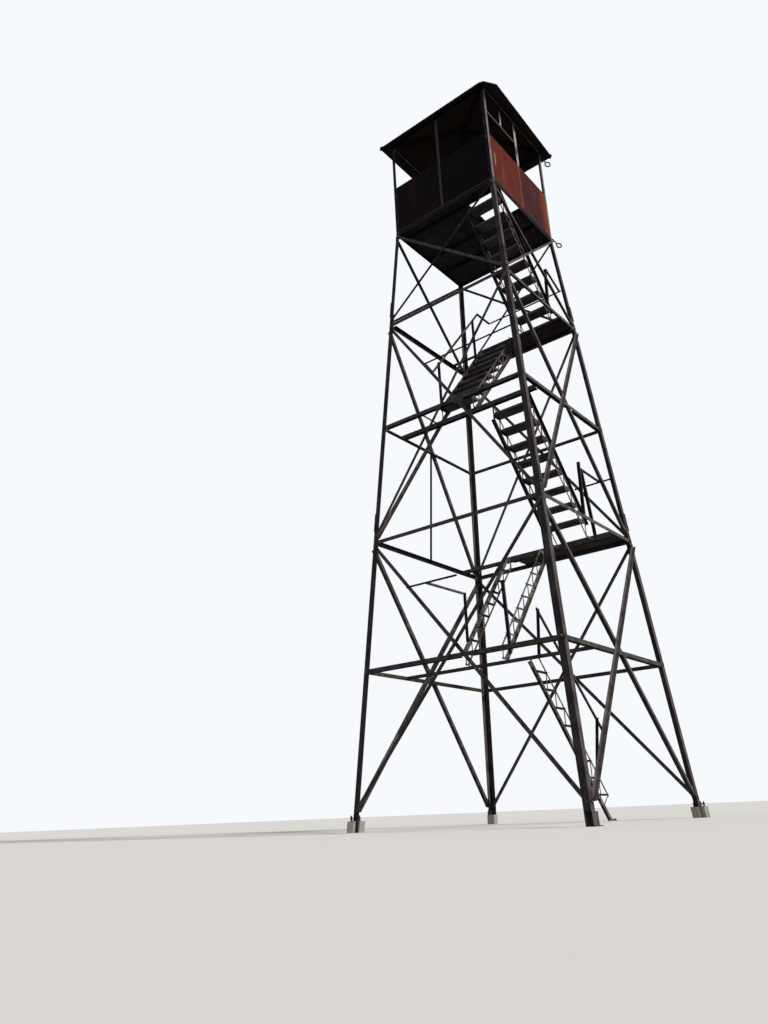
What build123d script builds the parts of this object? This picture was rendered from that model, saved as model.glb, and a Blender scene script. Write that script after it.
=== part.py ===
from build123d import *
import os
import math

os.makedirs("parts", exist_ok=True)

# Fire lookout tower: four tapering angle-iron legs, five storeys of bracing,
# zigzag stairs inside and a small square cab on top.
# Millimetres. Origin on the ground at the centre of the base, +Z up,
# front face towards -Y, sunlit right face towards +X.

# Main sizes
first_storey = 2339.0
storey = 2133.6
base_half = 1911.0
cab_half = 1108.0
sill_height = 1096.0
eave_height = 2146.0
level = [0.0] + [first_storey + storey * i for i in range(5)]
floor_z = level[5]
eave_z = floor_z + eave_height
batter = (base_half - cab_half) / floor_z

# Steel sections: width of a leg of the angle, thickness
leg_t = 8.0
leg_w_low = 102.0
leg_w_mid = 89.0
leg_w_top = 76.0
girt_w = 65.0
girt_t = 6.0
brace_w_low = 60.0
brace_w_mid = 54.0
brace_w_top = 42.0
brace_t = 6.0
splice_above = 215.0
splice_len = 340.0
splice_t = 8.0
splice_lap = 20.0
splice_w = 62.0

# Ends of the bars
foot_gap = 300.0
node_gap = 96.0
cope = 84.0
cross_notch = 190.0
pack_size = 56.0

# Inner beams that carry the landings: y of the beam at levels 1 to 4, the width
# of its angle and the way its lower leg points
beam_y = [0.0, -650.0, 985.0, -885.0, 732.0]
beam_w = [0.0, 65.0, 65.0, 76.0, 65.0]
beam_facing = [0, -1, 1, 1, -1]
beam_t = 6.0
board_t = 38.0
board_gap = 6.0
strut_x = -590.0
strut_w = 34.0

# Stairs
risers = 9
rise = storey / risers
going = 200.0
rise_first = 252.5
going_first = 230.0
tread_depth = 240.0
flight_w = 648.0
second_extra = 35.0
side_t = 6.0
heavy_w = 60.0
light_w = 34.0
flange_w = 42.0
frame_depth = 250.0
frame_depth_first = 340.0
bracket_w = 32.0
strap_w = 24.0
left_x = -476.0
right_x = 516.0
top_x = 402.0
first_x = 600.0

# Handrails and guard rails: height above the nosing line, section, and the height
# of the rail on the wall above levels 1 to 4
rail_height = 850.0
rail_w = 32.0
rail_t = 5.0
post_bar_w = 30.0
post_bar_t = 5.0
guard_height = [0.0, 1216.0, 1195.0, 1010.0, 905.0]
rod_size = 7.0

# Cab
post_w = 64.0
post_t = 6.0
sheet_t = 3.0
plank_t = 32.0
plank_gap = 2.0
hatch_x = (386.0, 1060.0)
hatch_y = (-866.0, -70.0)
overhang = 176.0
roof_rise = 640.0
roof_t = 4.0
rafter_t = 6.0
rafter_w = 55.0
frame_w = 70.0
frame_t = 6.0
sill_w = 38.0
mullion_w = 50.0
sash_height = 1646.0
sash_w = 34.0
cap_half = 40.0
cap_out = 80.0
cap_t = 3.0

# The front right corner of the eaves is bent back: clipped corner on the hip, and
# the points where each eave leaves its straight line
clip_hip = 1199.0
clip_front = (1120.0, 1264.0)
clip_right = (1050.0, 1380.0)

# Feet
block_h = 158.0
block_side = 118.0
rod_r = 10.0
rod_top = 80.0
shoe_t = 12.0
shoe_front = 64.0
shoe_side = 150.0
shoe_h = 170.0
shoe_toe = 40.0


def half_at(z):
    return base_half - batter * z


# A face of the tower: outward direction and direction along the face.
faces = [
    (Vector(0, -1, 0), Vector(1, 0, 0)),
    (Vector(1, 0, 0), Vector(0, 1, 0)),
    (Vector(0, 1, 0), Vector(-1, 0, 0)),
    (Vector(-1, 0, 0), Vector(0, -1, 0)),
]
corners = [(-1, -1), (1, -1), (1, 1), (-1, 1)]
up = Vector(0, 0, 1)


def face_normal(face):
    out = faces[face][0]
    return (out + up * batter).normalized()


def face_point(face, along, z):
    out, side = faces[face]
    return out * half_at(z) + side * along + up * z


def bar_plane(face, start, end):
    # Plane at the start of a bar lying on a face: local y is outward, z along the bar.
    direction = (end - start).normalized()
    across = face_normal(face).cross(direction)
    return Plane(origin=start, x_dir=across, z_dir=direction)


def angle_outline(width, thick, inner, flip):
    # Angle section seated on the leg: outer bars lie on the outside of the leg,
    # inner bars against its inside; the standing leg points away from the leg.
    half = width / 2
    side = -1 if flip else 1
    if inner:
        top = -leg_t - inner + 0.0
        pts = [
            (-side * half, top),
            (side * half, top),
            (side * half, top - width),
            (side * (half - thick), top - width),
            (side * (half - thick), top - thick),
            (-side * half, top - thick),
        ]
    else:
        pts = [
            (-side * half, 0),
            (side * half, 0),
            (side * half, width),
            (side * (half - thick), width),
            (side * (half - thick), thick),
            (-side * half, thick),
        ]
    Polygon(*pts, align=None)


def brace_ends(face, low_z, high_z, falling, inset):
    low = half_at(low_z) - inset
    high = half_at(high_z) - inset
    side = -1 if falling else 1
    start = face_point(face, -side * low, low_z)
    end = face_point(face, side * high, high_z)
    return start, end


# Legs: each length of angle follows the slope of the corner
def leg_sections(half_width, corner, z_low, z_high):
    sx, sy = corner
    h = half_at(z_low)
    base = Plane(origin=(sx * h, sy * h, z_low))
    lean = Vector(-sx * batter, -sy * batter, 1)
    return base, lean.normalized(), lean.length * (z_high - z_low)


def leg_outline(width, corner):
    sx, sy = corner
    pts = [
        (0, 0),
        (-sx * width, 0),
        (-sx * width, -sy * leg_t),
        (-sx * leg_t, -sy * leg_t),
        (-sx * leg_t, -sy * width),
        (0, -sy * width),
    ]
    Polygon(*pts, align=None)


splice_1 = level[2] + splice_above
splice_2 = level[4] + splice_above

with BuildPart() as legs_lower:
    for corner in corners:
        base, lean, length = leg_sections(0, corner, 0.0, splice_1)
        with BuildSketch(base):
            leg_outline(leg_w_low, corner)
        extrude(amount=length, dir=lean)

with BuildPart() as legs_middle:
    for corner in corners:
        base, lean, length = leg_sections(0, corner, splice_1, splice_2)
        with BuildSketch(base):
            leg_outline(leg_w_mid, corner)
        extrude(amount=length, dir=lean)

with BuildPart() as legs_upper:
    for corner in corners:
        base, lean, length = leg_sections(0, corner, splice_2, floor_z)
        with BuildSketch(base):
            leg_outline(leg_w_top, corner)
        extrude(amount=length, dir=lean)

# Splice angles wrap the outside of the leg where two lengths meet
with BuildPart() as leg_splices:
    for joint_z in (splice_1, splice_2):
        for sx, sy in corners:
            z_low = joint_z - splice_lap
            h = half_at(z_low)
            lean = Vector(-sx * batter, -sy * batter, 1)
            with BuildSketch(Plane(origin=(sx * h, sy * h, z_low))):
                Polygon(
                    (sx * splice_t, sy * splice_t),
                    (-sx * splice_w, sy * splice_t),
                    (-sx * splice_w, 0),
                    (0, 0),
                    (0, -sy * splice_w),
                    (sx * splice_t, -sy * splice_w),
                    align=None,
                )
            extrude(amount=splice_len - splice_lap, dir=lean.normalized())


# Braces: one bar of each pair lies outside the legs, the other inside
def brace_list(tier):
    if tier == "lower":
        return foot_gap, level[2] - node_gap, brace_w_low, 52.0
    if tier == "middle":
        return level[2] + node_gap, level[4] - node_gap, brace_w_mid, 46.0
    return level[4] + node_gap, level[5] - node_gap, brace_w_top, 40.0


# Girts: flat leg against the inside of the tower legs, lower leg pointing inwards.
# Its lower leg is cut back at both ends, and at mid-span where a brace passes.
def girt_parts(face, z):
    end = half_at(z) - leg_t - (5.0 if face % 2 == 0 else girt_t + 8.0)
    start = face_point(face, -end, z)
    finish = face_point(face, end, z)
    return start, finish, 2 * end


girt_notched = [False, True, False, True, False]
girt_nodes = []
for number in range(1, 5):
    z = level[number]
    with BuildPart() as girts:
        for face in range(4):
            start, finish, length = girt_parts(face, z)
            spot = bar_plane(face, start, finish)
            seat = -leg_t
            side = 1 if face_normal(face).cross((finish - start).normalized()).Z > 0 else -1
            low = -side * girt_w / 2
            with BuildSketch(spot):
                Polygon(
                    (-girt_w / 2, seat),
                    (girt_w / 2, seat),
                    (girt_w / 2, seat - girt_t),
                    (-girt_w / 2, seat - girt_t),
                    align=None,
                )
            extrude(amount=length)
            spans = [(cope, length - cope)]
            if girt_notched[number]:
                low_z, high_z, width, inset = brace_list("lower" if number == 1 else "middle")
                foot = half_at(low_z) - inset
                head = half_at(high_z) - inset
                share = (z - girt_w / 2 - low_z) / (high_z - low_z)
                middle = length / 2 + foot - (foot + head) * share
                spans = [(cope, middle - cross_notch / 2), (middle + cross_notch / 2, length - cope)]
            for near, far in spans:
                with BuildSketch(spot.offset(near)):
                    Polygon(
                        (low, seat - girt_t / 2),
                        (low + side * girt_t, seat - girt_t / 2),
                        (low + side * girt_t, seat - girt_w),
                        (low, seat - girt_w),
                        align=None,
                    )
                extrude(amount=far - near)
    girts.part.label = "girts_level_" + str(number)
    export_step(girts.part, "parts/girts_level_" + str(number) + ".step")


for tier in ("lower", "middle", "upper"):
    low_z, high_z, width, inset = brace_list(tier)
    depth = 0.0 if tier == "upper" else girt_t
    with BuildPart() as outer:
        for face in range(4):
            start, end = brace_ends(face, low_z, high_z, False, inset)
            with BuildSketch(bar_plane(face, start, end)):
                angle_outline(width, brace_t, 0, face % 2 == 1)
            extrude(amount=(end - start).length)
    outer.part.label = "braces_" + tier + "_outer"
    export_step(outer.part, "parts/braces_" + tier + "_outer.step")
    with BuildPart() as inner:
        for face in range(4):
            start, end = brace_ends(face, low_z, high_z, True, inset)
            with BuildSketch(bar_plane(face, start, end)):
                angle_outline(width, brace_t, depth + 0.0001, face % 2 == 1)
            extrude(amount=(end - start).length)
    inner.part.label = "braces_" + tier + "_inner"
    export_step(inner.part, "parts/braces_" + tier + "_inner.step")

# Packing plates: under the ends of the inner braces, and between the two bars
# of a pair where they cross
with BuildPart() as brace_packs:
    for tier in ("lower", "middle", "upper"):
        low_z, high_z, width, inset = brace_list(tier)
        for face in range(4):
            start, end = brace_ends(face, low_z, high_z, True, inset)
            spot = bar_plane(face, start, end)
            length = (end - start).length
            if tier != "upper":
                for near in (3.0, length - 3.0 - pack_size):
                    with BuildSketch(spot.offset(near)):
                        with Locations((0, -leg_t - girt_t / 2)):
                            Rectangle(width - 14, girt_t)
                    extrude(amount=pack_size)
            a, b = brace_ends(face, low_z, high_z, False, inset)
            low = half_at(low_z) - inset
            high = half_at(high_z) - inset
            share = low / (low + high)
            middle = a + (b - a) * share
            with BuildSketch(Plane(origin=middle, z_dir=face_normal(face) * -1)):
                Circle(18.0)
            extrude(amount=leg_t if tier == "upper" else leg_t + girt_t)

# Inner beams: angle irons between the side girts that carry the landings, and the
# short strut of the third landing
beam_z = [0.0, level[1], level[2], level[3], level[4]]
with BuildPart() as landing_beams:
    for number in range(1, 5):
        z = level[number]
        y = beam_y[number]
        facing = beam_facing[number]
        wide = beam_w[number]
        seat = z - girt_w / 2 + girt_t
        top = z + girt_w / 2
        low = top - wide
        reach = half_at(top) - leg_t - girt_t - 0.5
        with Locations((0, y, (seat + top) / 2)):
            Box(2 * reach, beam_t, top - seat)
        if low < seat - girt_t:
            # The deeper beam is coped at its ends to pass the lower legs of the girts
            reach = half_at(z) - leg_t - girt_w - 4.0
            with Locations((0, y, (low + seat) / 2)):
                Box(2 * reach, beam_t, seat - low)
        else:
            low = seat
        with Locations((0, y + facing * wide / 2, low + beam_t / 2)):
            Box(2 * reach, wide, beam_t)
    # Strut along Y at the left end of the third landing, seated on the front girt
    low = level[3] - girt_w / 2 + girt_t
    wall = -half_at(low + strut_w) + leg_t + girt_t + 0.4
    far = beam_y[3] - beam_t / 2
    with Locations((strut_x, (wall + far) / 2, low + strut_w / 2)):
        Box(beam_t, far - wall, strut_w)

# Landing boards along X, from the inner beam to the girt of the wall
landing_left = {2: (-560.0, -470.0), 4: (-600.0, -600.0)}
landing_short = {2: 81.0, 4: 31.0}
beam_top = girt_w / 2
for number in (2, 4):
    z = level[number] + beam_top
    x1 = half_at(level[number]) - landing_short[number]
    near_y = beam_y[number] - beam_t / 2
    wall_y = half_at(z + board_t) - leg_t - 1.0
    count = 2
    width = (wall_y - near_y - board_gap * (count - 1)) / count
    with BuildPart() as boards:
        for i in range(count):
            x0 = landing_left[number][i]
            middle_y = near_y + width / 2 + i * (width + board_gap)
            with Locations(((x0 + x1) / 2, middle_y, z + board_t / 2)):
                Box(x1 - x0, width, board_t)
    boards.part.label = "landing_" + str(number) + "_boards"
    export_step(boards.part, "parts/landing_" + str(number) + "_boards.step")


# Stairs. A flight is set out from its nosing line: step k lies k risers below the
# upper floor. heading is the way the flight climbs along y, edge the face of the
# beam that its top end is bolted to.
def flight_plan(number):
    if number == 1:
        edge = beam_y[1] + beam_t / 2
        return -1, -380.0, 2428.0, going_first, rise_first, frame_depth_first, edge
    if number == 2:
        return 1, 822.0, level[2], going, rise, frame_depth, beam_y[2] - beam_t / 2
    if number == 3:
        return -1, -845.0, level[3], going, rise, frame_depth, beam_y[3] + beam_t / 2
    if number == 4:
        edge = beam_y[4] - beam_w[4]
        return 1, edge - 5.0, level[4], going, rise, frame_depth, edge
    return -1, -857.0, level[5], going, rise, frame_depth, hatch_y[0] - 3.5


def step_spot(plan, k, back):
    heading, y0, z0, run, tall = plan[:5]
    return (y0 - heading * run * k + heading * back, z0 - tall * k)


def chord(plan, back, width, k0, k1):
    # Bar along the flight; its upper edge is `back` behind the nosing line
    heading, y0, z0, run, tall = plan[:5]
    slope = math.hypot(run, tall)
    ya, za = step_spot(plan, k0, back)
    yb, zb = step_spot(plan, k1, back)
    oy = heading * tall / slope * width
    oz = -run / slope * width
    Polygon((ya, za), (yb, zb), (yb + oy, zb + oz), (ya + oy, za + oz), align=None)


def strap(plan, k, back):
    # Upright strap from the bracket of step k down to the next bracket
    heading = plan[0]
    y, z = step_spot(plan, k, back)
    low = z - plan[4]
    ya, yb = y, y + heading * strap_w
    Polygon((ya, z), (yb, z), (yb, low), (ya, low), align=None)


def bracket(plan, k, back, reach, width):
    ya, z = step_spot(plan, k, back)
    yb, z = step_spot(plan, k, reach)
    Polygon((ya, z), (yb, z), (yb, z - width), (ya, z - width), align=None)


def frame_room(number):
    # Outline that the side frame is cut to, between the beams and above the boards
    plan = flight_plan(number)
    edge = plan[6]
    deck = beam_top + board_t
    if number == 1:
        top = level[1] + beam_top
        return [(edge, 0.0), (2500, 0.0), (2500, top), (edge, top)]
    if number == 2:
        foot, top = level[1] + beam_top, level[2] + beam_top
        return [(-2500, foot), (edge, foot), (edge, top), (-2500, top)]
    if number == 3:
        foot, top = level[2] - 22.0, level[3] + beam_top - beam_w[3]
        far = beam_y[2] - beam_t / 2
        return [(edge, foot), (far, foot), (far, top), (edge, top)]
    if number == 4:
        foot, top = level[3] + beam_top, level[4] + beam_top
        return [(-2500, foot), (edge, foot), (edge, top), (-2500, top)]
    foot, top = level[4] + deck, level[5]
    return [(edge, foot), (2500, foot), (2500, top), (edge, top)]


def end_bar(number):
    # Upright at the top end, against the beam
    heading, y0, z0, run, tall, depth, edge = flight_plan(number)
    inner = edge - heading * 42.0
    low = z0 - tall * 0.9
    Polygon((inner, z0 + 40), (edge, z0 + 40), (edge, low), (inner, low), align=None)


def foot_bar(number):
    # Flat at the foot of the frame, tying it to what it stands on
    spans = {
        1: (1400.0, 1640.0, 0.0),
        2: (-770.0, beam_y[1] + beam_t, level[1] + beam_top),
        3: (690.0, beam_y[2] - beam_t / 2, level[2] - 22.0),
        4: (beam_y[3] - beam_t, -800.0, level[3] + beam_top),
        5: (640.0, 925.0, level[4] + beam_top + board_t),
    }
    a, b, z = spans[number]
    Polygon((a, z), (b, z), (b, z + bracket_w), (a, z + bracket_w), align=None)


side_names = ["", "flight_1_side", "flight_2_sides", "flight_3_sides", "flight_4_sides"]
side_names.append("flight_5_sides")
flight_x = [0.0, first_x, left_x, right_x, left_x, top_x]
flight_wide = [0.0, flight_w, flight_w + second_extra, flight_w, flight_w, flight_w]
short_end = 8.12
long_end = risers + 0.2


def toe_strap(plan):
    # Strap from the last step of the first flight back to its stringer
    ya, za = step_spot(plan, short_end - 0.05, 14.0)
    yb, zb = step_spot(plan, short_end + 0.55, plan[5] - 10.0)
    Polygon((ya, za), (ya - 30.0, za), (yb - 30.0, zb), (yb, zb), align=None)


for number in range(1, 6):
    plan = flight_plan(number)
    heading = plan[0]
    depth = plan[5]
    stringer_back = depth - 20.0
    foot_k = 11.0 if number == 1 else risers + 0.6
    hands = (0,) if number == 1 else (0, 1)
    with BuildPart() as sides:
        for hand in hands:
            x = flight_x[number] + hand * flight_wide[number]
            inward = 1 if hand == 0 else -1
            heavy_nosing = (hand == 0) == (heading == 1)
            nosing_w = heavy_w if heavy_nosing else light_w
            stringer_w = light_w if heavy_nosing else heavy_w
            end_k = long_end if number in (3, 5) and not heavy_nosing else short_end
            side_plane = Plane(origin=(x, 0, 0), x_dir=(0, 1, 0), z_dir=(1, 0, 0))
            with BuildSketch(side_plane):
                chord(plan, 10.0, nosing_w, -0.8, end_k)
                chord(plan, stringer_back, stringer_w, -0.9, foot_k)
                for k in range(0, risers):
                    bracket(plan, k, 8.0, depth, bracket_w)
                for k in range(1, risers if number > 1 else risers - 1):
                    strap(plan, k, 30.0)
                end_bar(number)
                foot_bar(number)
                if number == 1:
                    toe_strap(plan)
                Polygon(*frame_room(number), align=None, mode=Mode.INTERSECT)
            extrude(amount=inward * side_t)
            with BuildSketch(side_plane):
                if heavy_nosing:
                    chord(plan, 10.0, side_t, 0.1, end_k)
                else:
                    chord(plan, stringer_back + 68.0, side_t, 0.4, foot_k)
                Polygon(*frame_room(number), align=None, mode=Mode.INTERSECT)
            extrude(amount=-inward * flange_w)
            with BuildSketch(side_plane):
                for k in range(1, risers):
                    bracket(plan, k, 8.0, depth, side_t - 1.0)
                Polygon(*frame_room(number), align=None, mode=Mode.INTERSECT)
            extrude(amount=inward * bracket_w)
    sides.part.label = side_names[number]
    export_step(sides.part, "parts/" + side_names[number] + ".step")

for number in (3, 4, 5):
    plan = flight_plan(number)
    heading = plan[0]
    x0 = flight_x[number] + side_t + 0.2
    x1 = flight_x[number] + flight_w - side_t - 0.2
    with BuildPart() as treads:
        for k in range(1, risers):
            y, z = step_spot(plan, k, tread_depth / 2)
            with Locations(((x0 + x1) / 2, y, z + board_t / 2)):
                Box(x1 - x0, tread_depth, board_t)
    treads.part.label = "flight_" + str(number) + "_treads"
    export_step(treads.part, "parts/flight_" + str(number) + "_treads.step")

# Posts of the handrails stand on the upper edge of the side frames. Each is set
# out by flight, side, step, height and lean along the flight.
post_spots = [
    (1, 0, 0.12, 0.0, 760.0, 0.16),
    (1, 0, 6.70, 0.0, 857.0, 0.29),
    (2, 0, 7.125, 0.0, 800.0, 0.02),
    (2, 1, 8.386, 1.0, 1155.0, -0.04),
    (3, 1, 7.54, 0.0, 1000.0, 0.06),
    (4, 0, 1.0, 0.0, 872.0, 0.0),
    (4, 0, 7.56, 0.0, 872.0, 0.0),
    (5, 1, 7.30, 0.0, 760.0, 0.1),
]


def outer_x(number, hand):
    # Outer side of the frame, where the posts and the handrail lie
    plan = flight_plan(number)
    inward = 1 if hand == 0 else -1
    flanged = (hand == 0) == (plan[0] == 1) or (number == 2 and hand == 1)
    x = flight_x[number] + hand * flight_wide[number]
    return (x - inward * flange_w if flanged else x), inward


def above_frame(plan, back):
    # Everything above the line that is `back` behind the nosing line
    heading, y0, z0, run, tall = plan[:5]
    slope = math.hypot(run, tall)
    ya, za = step_spot(plan, -8, back)
    yb, zb = step_spot(plan, 16, back)
    oy, oz = -heading * tall / slope * 3000.0, run / slope * 3000.0
    Polygon((ya, za), (yb, zb), (yb + oy, zb + oz), (ya + oy, za + oz), align=None, mode=Mode.INTERSECT)


with BuildPart() as stair_posts:
    for number, hand, k, on_stringer, tall, lean in post_spots:
        plan = flight_plan(number)
        back = plan[5] - 20.0 + 68.0 if on_stringer else 10.0
        y, z = step_spot(plan, k, back)
        x, inward = outer_x(number, hand)
        side_plane = Plane(origin=(x, 0, 0), x_dir=(0, 1, 0), z_dir=(1, 0, 0))
        for wide, deep in ((post_bar_w, post_bar_t), (post_bar_t, post_bar_w)):
            left = y - post_bar_w / 2
            shift = lean * tall
            drop = 60.0
            with BuildSketch(side_plane):
                Polygon(
                    (left - lean * drop, z - drop),
                    (left - lean * drop + wide, z - drop),
                    (left + shift + wide, z + tall),
                    (left + shift, z + tall),
                    align=None,
                )
                above_frame(plan, back)
            extrude(amount=inward * deep)
    # A leaning post at the near edge of the second landing
    x, inward = outer_x(3, 1)
    foot_y, foot_z = beam_y[2] + 18.0, level[2] + beam_top + board_t
    head_y, head_z = foot_y - 225.0, level[2] + guard_height[2] + rail_w
    for wide, deep in ((post_bar_w, post_bar_t), (post_bar_t, post_bar_w)):
        with BuildSketch(Plane(origin=(x, 0, 0), x_dir=(0, 1, 0), z_dir=(1, 0, 0))):
            left = foot_y - post_bar_w / 2
            top = head_y - post_bar_w / 2
            Polygon((left, foot_z), (left + wide, foot_z), (top + wide, head_z), (top, head_z), align=None)
        extrude(amount=inward * deep)

# Guard rails on the walls: flat bars in the layer of the girts, at the two upper
# levels on the standing legs of the inner braces
guard_spans = [
    (1, 0, -900.0, 60.0),
    (2, 2, -1450.0, -715.0),
    (3, 0, -540.0, 1262.0),
    (4, 2, -1130.0, 510.0),
]


def guard_layer(number):
    if number == 4:
        return -leg_t - brace_w_top - 0.001, rail_t
    if number == 3:
        return -leg_t - girt_t - brace_w_mid - 0.001, rail_t
    return -leg_t, girt_t


with BuildPart() as guard_rails:
    for number, face, start_x, end_x in guard_spans:
        z = level[number] + guard_height[number]
        start = face_point(face, start_x, z)
        finish = face_point(face, end_x, z)
        seat, thick = guard_layer(number)
        with BuildSketch(bar_plane(face, start, finish)):
            Polygon(
                (-rail_w / 2, seat),
                (rail_w / 2, seat),
                (rail_w / 2, seat - thick),
                (-rail_w / 2, seat - thick),
                align=None,
            )
        extrude(amount=end_x - start_x)


def wall_y(number, z):
    # y of the inner side of the guard rail of a level, at height z
    seat, thick = guard_layer(number)
    side = -1 if number in (1, 3) else 1
    return side * (half_at(z) + (seat - thick) / math.cos(math.atan(batter)) - 0.1)


def rail_ends(number):
    # Centre line of each handrail: y and z of its points, and the wall it runs to
    plan = flight_plan(number)
    if number == 1:
        return [(-260.0, 3163.0), (1564.0, 1412.0)], 0, 0
    if number == 2:
        z = level[1] + guard_height[1] + 16.0
        return [(-596.0, z)], 1, 0
    if number == 3:
        z = level[2] + guard_height[2] + 16.0
        return [(670.0, z)], 0, 2
    if number == 4:
        low_y, low_z = step_spot(plan, 8.6, 10.0)
        high_y, high_z = step_spot(plan, -0.12, 10.0)
        low = (low_y, level[3] + 930.0)
        high = (high_y, level[4] + guard_height[4])
        return [low, high], 3, 4
    return [(678.0, 9868.0)], 0, 4


def flat_bar(a, b):
    # Quadrilateral along the line a to b, its ends upright
    run_y, run_z = b[0] - a[0], b[1] - a[1]
    up_z = rail_w / 2 * math.hypot(run_y, run_z) / abs(run_y)
    Polygon((a[0], a[1] - up_z), (b[0], b[1] - up_z), (b[0], b[1] + up_z), (a[0], a[1] + up_z), align=None)


def bar_to_wall(spot, number):
    y, z = spot
    wall_z = level[number] + guard_height[number]
    low, high = wall_z - rail_w / 2, wall_z + rail_w / 2
    half = rail_w / 2
    Polygon((y, z - half), (wall_y(number, low), low), (wall_y(number, high), high), (y, z + half), align=None)


with BuildPart() as stair_rails:
    for number in range(1, 6):
        hand = 1 if number in (3, 5) else 0
        x, inward = outer_x(number, hand)
        spots, low_wall, high_wall = rail_ends(number)
        with BuildSketch(Plane(origin=(x, 0, 0), x_dir=(0, 1, 0), z_dir=(1, 0, 0))):
            if len(spots) == 2:
                flat_bar(spots[0], spots[1])
            if low_wall:
                bar_to_wall(spots[0], low_wall)
            if high_wall:
                bar_to_wall(spots[-1], high_wall)
        extrude(amount=-inward * rail_t)

# Rod at the middle of the left wall, between the girts of levels 2 and 3
with BuildPart() as sway_rod:
    depth = leg_t + girt_w * 0.55
    drop = depth * batter
    foot_z = level[2] - girt_w / 2 + girt_t - drop + 0.7
    head_z = level[3] - girt_w / 2 - drop - 0.7
    foot = Vector(-half_at(foot_z) + depth, -20.0, foot_z)
    head = Vector(-half_at(head_z) + depth, -20.0, head_z)
    with BuildSketch(Plane(origin=foot, z_dir=(head - foot).normalized())):
        Circle(rod_size)
    extrude(amount=(head - foot).length)

# Cab floor: angle frame between the tops of the legs, joists and planks with a hatch
frame_in = cab_half - leg_t - frame_t
with BuildPart() as cab_floor_frame:
    for face in range(4):
        out, side = faces[face]
        length = 2 * (cab_half - leg_t - 2.0) if face % 2 == 0 else 2 * (frame_in - 0.3)
        middle = out * (cab_half - leg_t - frame_t / 2) + up * (floor_z - frame_w / 2)
        turn = 0 if face % 2 == 0 else 90
        with Locations(Location(middle, (0, 0, turn))):
            Box(length, frame_t, frame_w)

# Joists along X and the bars along Y that trim the hatch, standing on edge
joist_y = [hatch_y[0] - 6.5, hatch_y[1] + 3.0, 480.0]
with BuildPart() as cab_floor_joists:
    for y in joist_y:
        with Locations((0, y, floor_z - frame_w / 2)):
            Box(2 * (frame_in - 0.3), frame_t, frame_w)
    with Locations((hatch_x[0] - frame_t / 2, (joist_y[0] + joist_y[1]) / 2, floor_z - frame_w / 2)):
        Box(frame_t, joist_y[1] - joist_y[0] - frame_t - 0.4, frame_w)

plank_count = 15
plank_pitch = (2 * cab_half + plank_gap) / plank_count
with BuildPart() as cab_floor:
    for i in range(plank_count):
        x = -cab_half + plank_pitch * (i + 0.5) - plank_gap / 2
        with Locations((x, 0, floor_z + plank_t / 2)):
            Box(plank_pitch - plank_gap, 2 * cab_half, plank_t)
    hatch_mid = ((hatch_x[0] + hatch_x[1]) / 2, (hatch_y[0] + hatch_y[1]) / 2)
    with Locations((hatch_mid[0], hatch_mid[1], floor_z + plank_t / 2)):
        Box(hatch_x[1] - hatch_x[0], hatch_y[1] - hatch_y[0], plank_t, mode=Mode.SUBTRACT)

# Cab walls: corner posts, sheet panels below the sills, a mullion in each window
roof_slope = roof_rise / (cab_half + overhang)
plate_top = eave_z + overhang * roof_slope - roof_t - 1.0
wall_foot = floor_z + plank_t
post_len = plate_top - post_w - wall_foot
with BuildPart() as cab_posts:
    for sx, sy in corners:
        with BuildSketch(Plane(origin=(sx * cab_half, sy * cab_half, wall_foot))):
            Polygon(
                (0, 0),
                (-sx * post_w, 0),
                (-sx * post_w, -sy * post_t),
                (-sx * post_t, -sy * post_t),
                (-sx * post_t, -sy * post_w),
                (0, -sy * post_w),
                align=None,
            )
        extrude(amount=post_len)

sheet_out = cab_half - post_t
sheet_in = sheet_out - sheet_t
with BuildPart() as cab_panels:
    for face in range(4):
        out, side = faces[face]
        turn = 0 if face % 2 == 0 else 90
        length = 2 * (sheet_out - 0.3) if face % 2 == 0 else 2 * (sheet_in - 0.3)
        tall = sill_height - plank_t
        middle = out * (sheet_out - sheet_t / 2) + up * (wall_foot + tall / 2)
        with Locations(Location(middle, (0, 0, turn))):
            Box(length, sheet_t, tall)

with BuildPart() as cab_sills:
    for face in range(4):
        out, side = faces[face]
        turn = 0 if face % 2 == 0 else 90
        reach = sheet_in - 0.3 if face % 2 == 0 else sheet_in - sill_w - 0.6
        low = floor_z + sill_height - sill_w
        middle = out * (sheet_in - frame_t / 2) + up * (low + sill_w / 2)
        with Locations(Location(middle, (0, 0, turn))):
            Box(2 * reach, frame_t, sill_w)
        middle = out * (sheet_in - sill_w / 2) + up * (low + sill_w - 2.5)
        with Locations(Location(middle, (0, 0, turn))):
            Box(2 * reach, sill_w, 5.0)

with BuildPart() as cab_top_plates:
    for face in range(4):
        out, side = faces[face]
        turn = 0 if face % 2 == 0 else 90
        length = 2 * cab_half if face % 2 == 0 else 2 * (cab_half - post_w - 0.3)
        middle = out * (cab_half - post_t / 2) + up * (plate_top - post_w / 2)
        with Locations(Location(middle, (0, 0, turn))):
            Box(length, post_t, post_w)
        middle = out * (cab_half - post_w / 2) + up * (plate_top - post_t / 2)
        with Locations(Location(middle, (0, 0, turn))):
            Box(length, post_w, post_t)

# Mullions run to the floor outside the front and back sheets, and lap over the top
# of the side sheets
mullion_lap = 60.0
with BuildPart() as cab_mullions:
    for face in range(4):
        out, side = faces[face]
        turn = 0 if face % 2 == 0 else 90
        foot = wall_foot if face % 2 == 0 else floor_z + sill_height - mullion_lap
        head = wall_foot + post_len
        middle = out * (cab_half - post_t / 2) + up * ((foot + head) / 2)
        with Locations(Location(middle, (0, 0, turn))):
            Box(mullion_w, post_t, head - foot)

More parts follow.
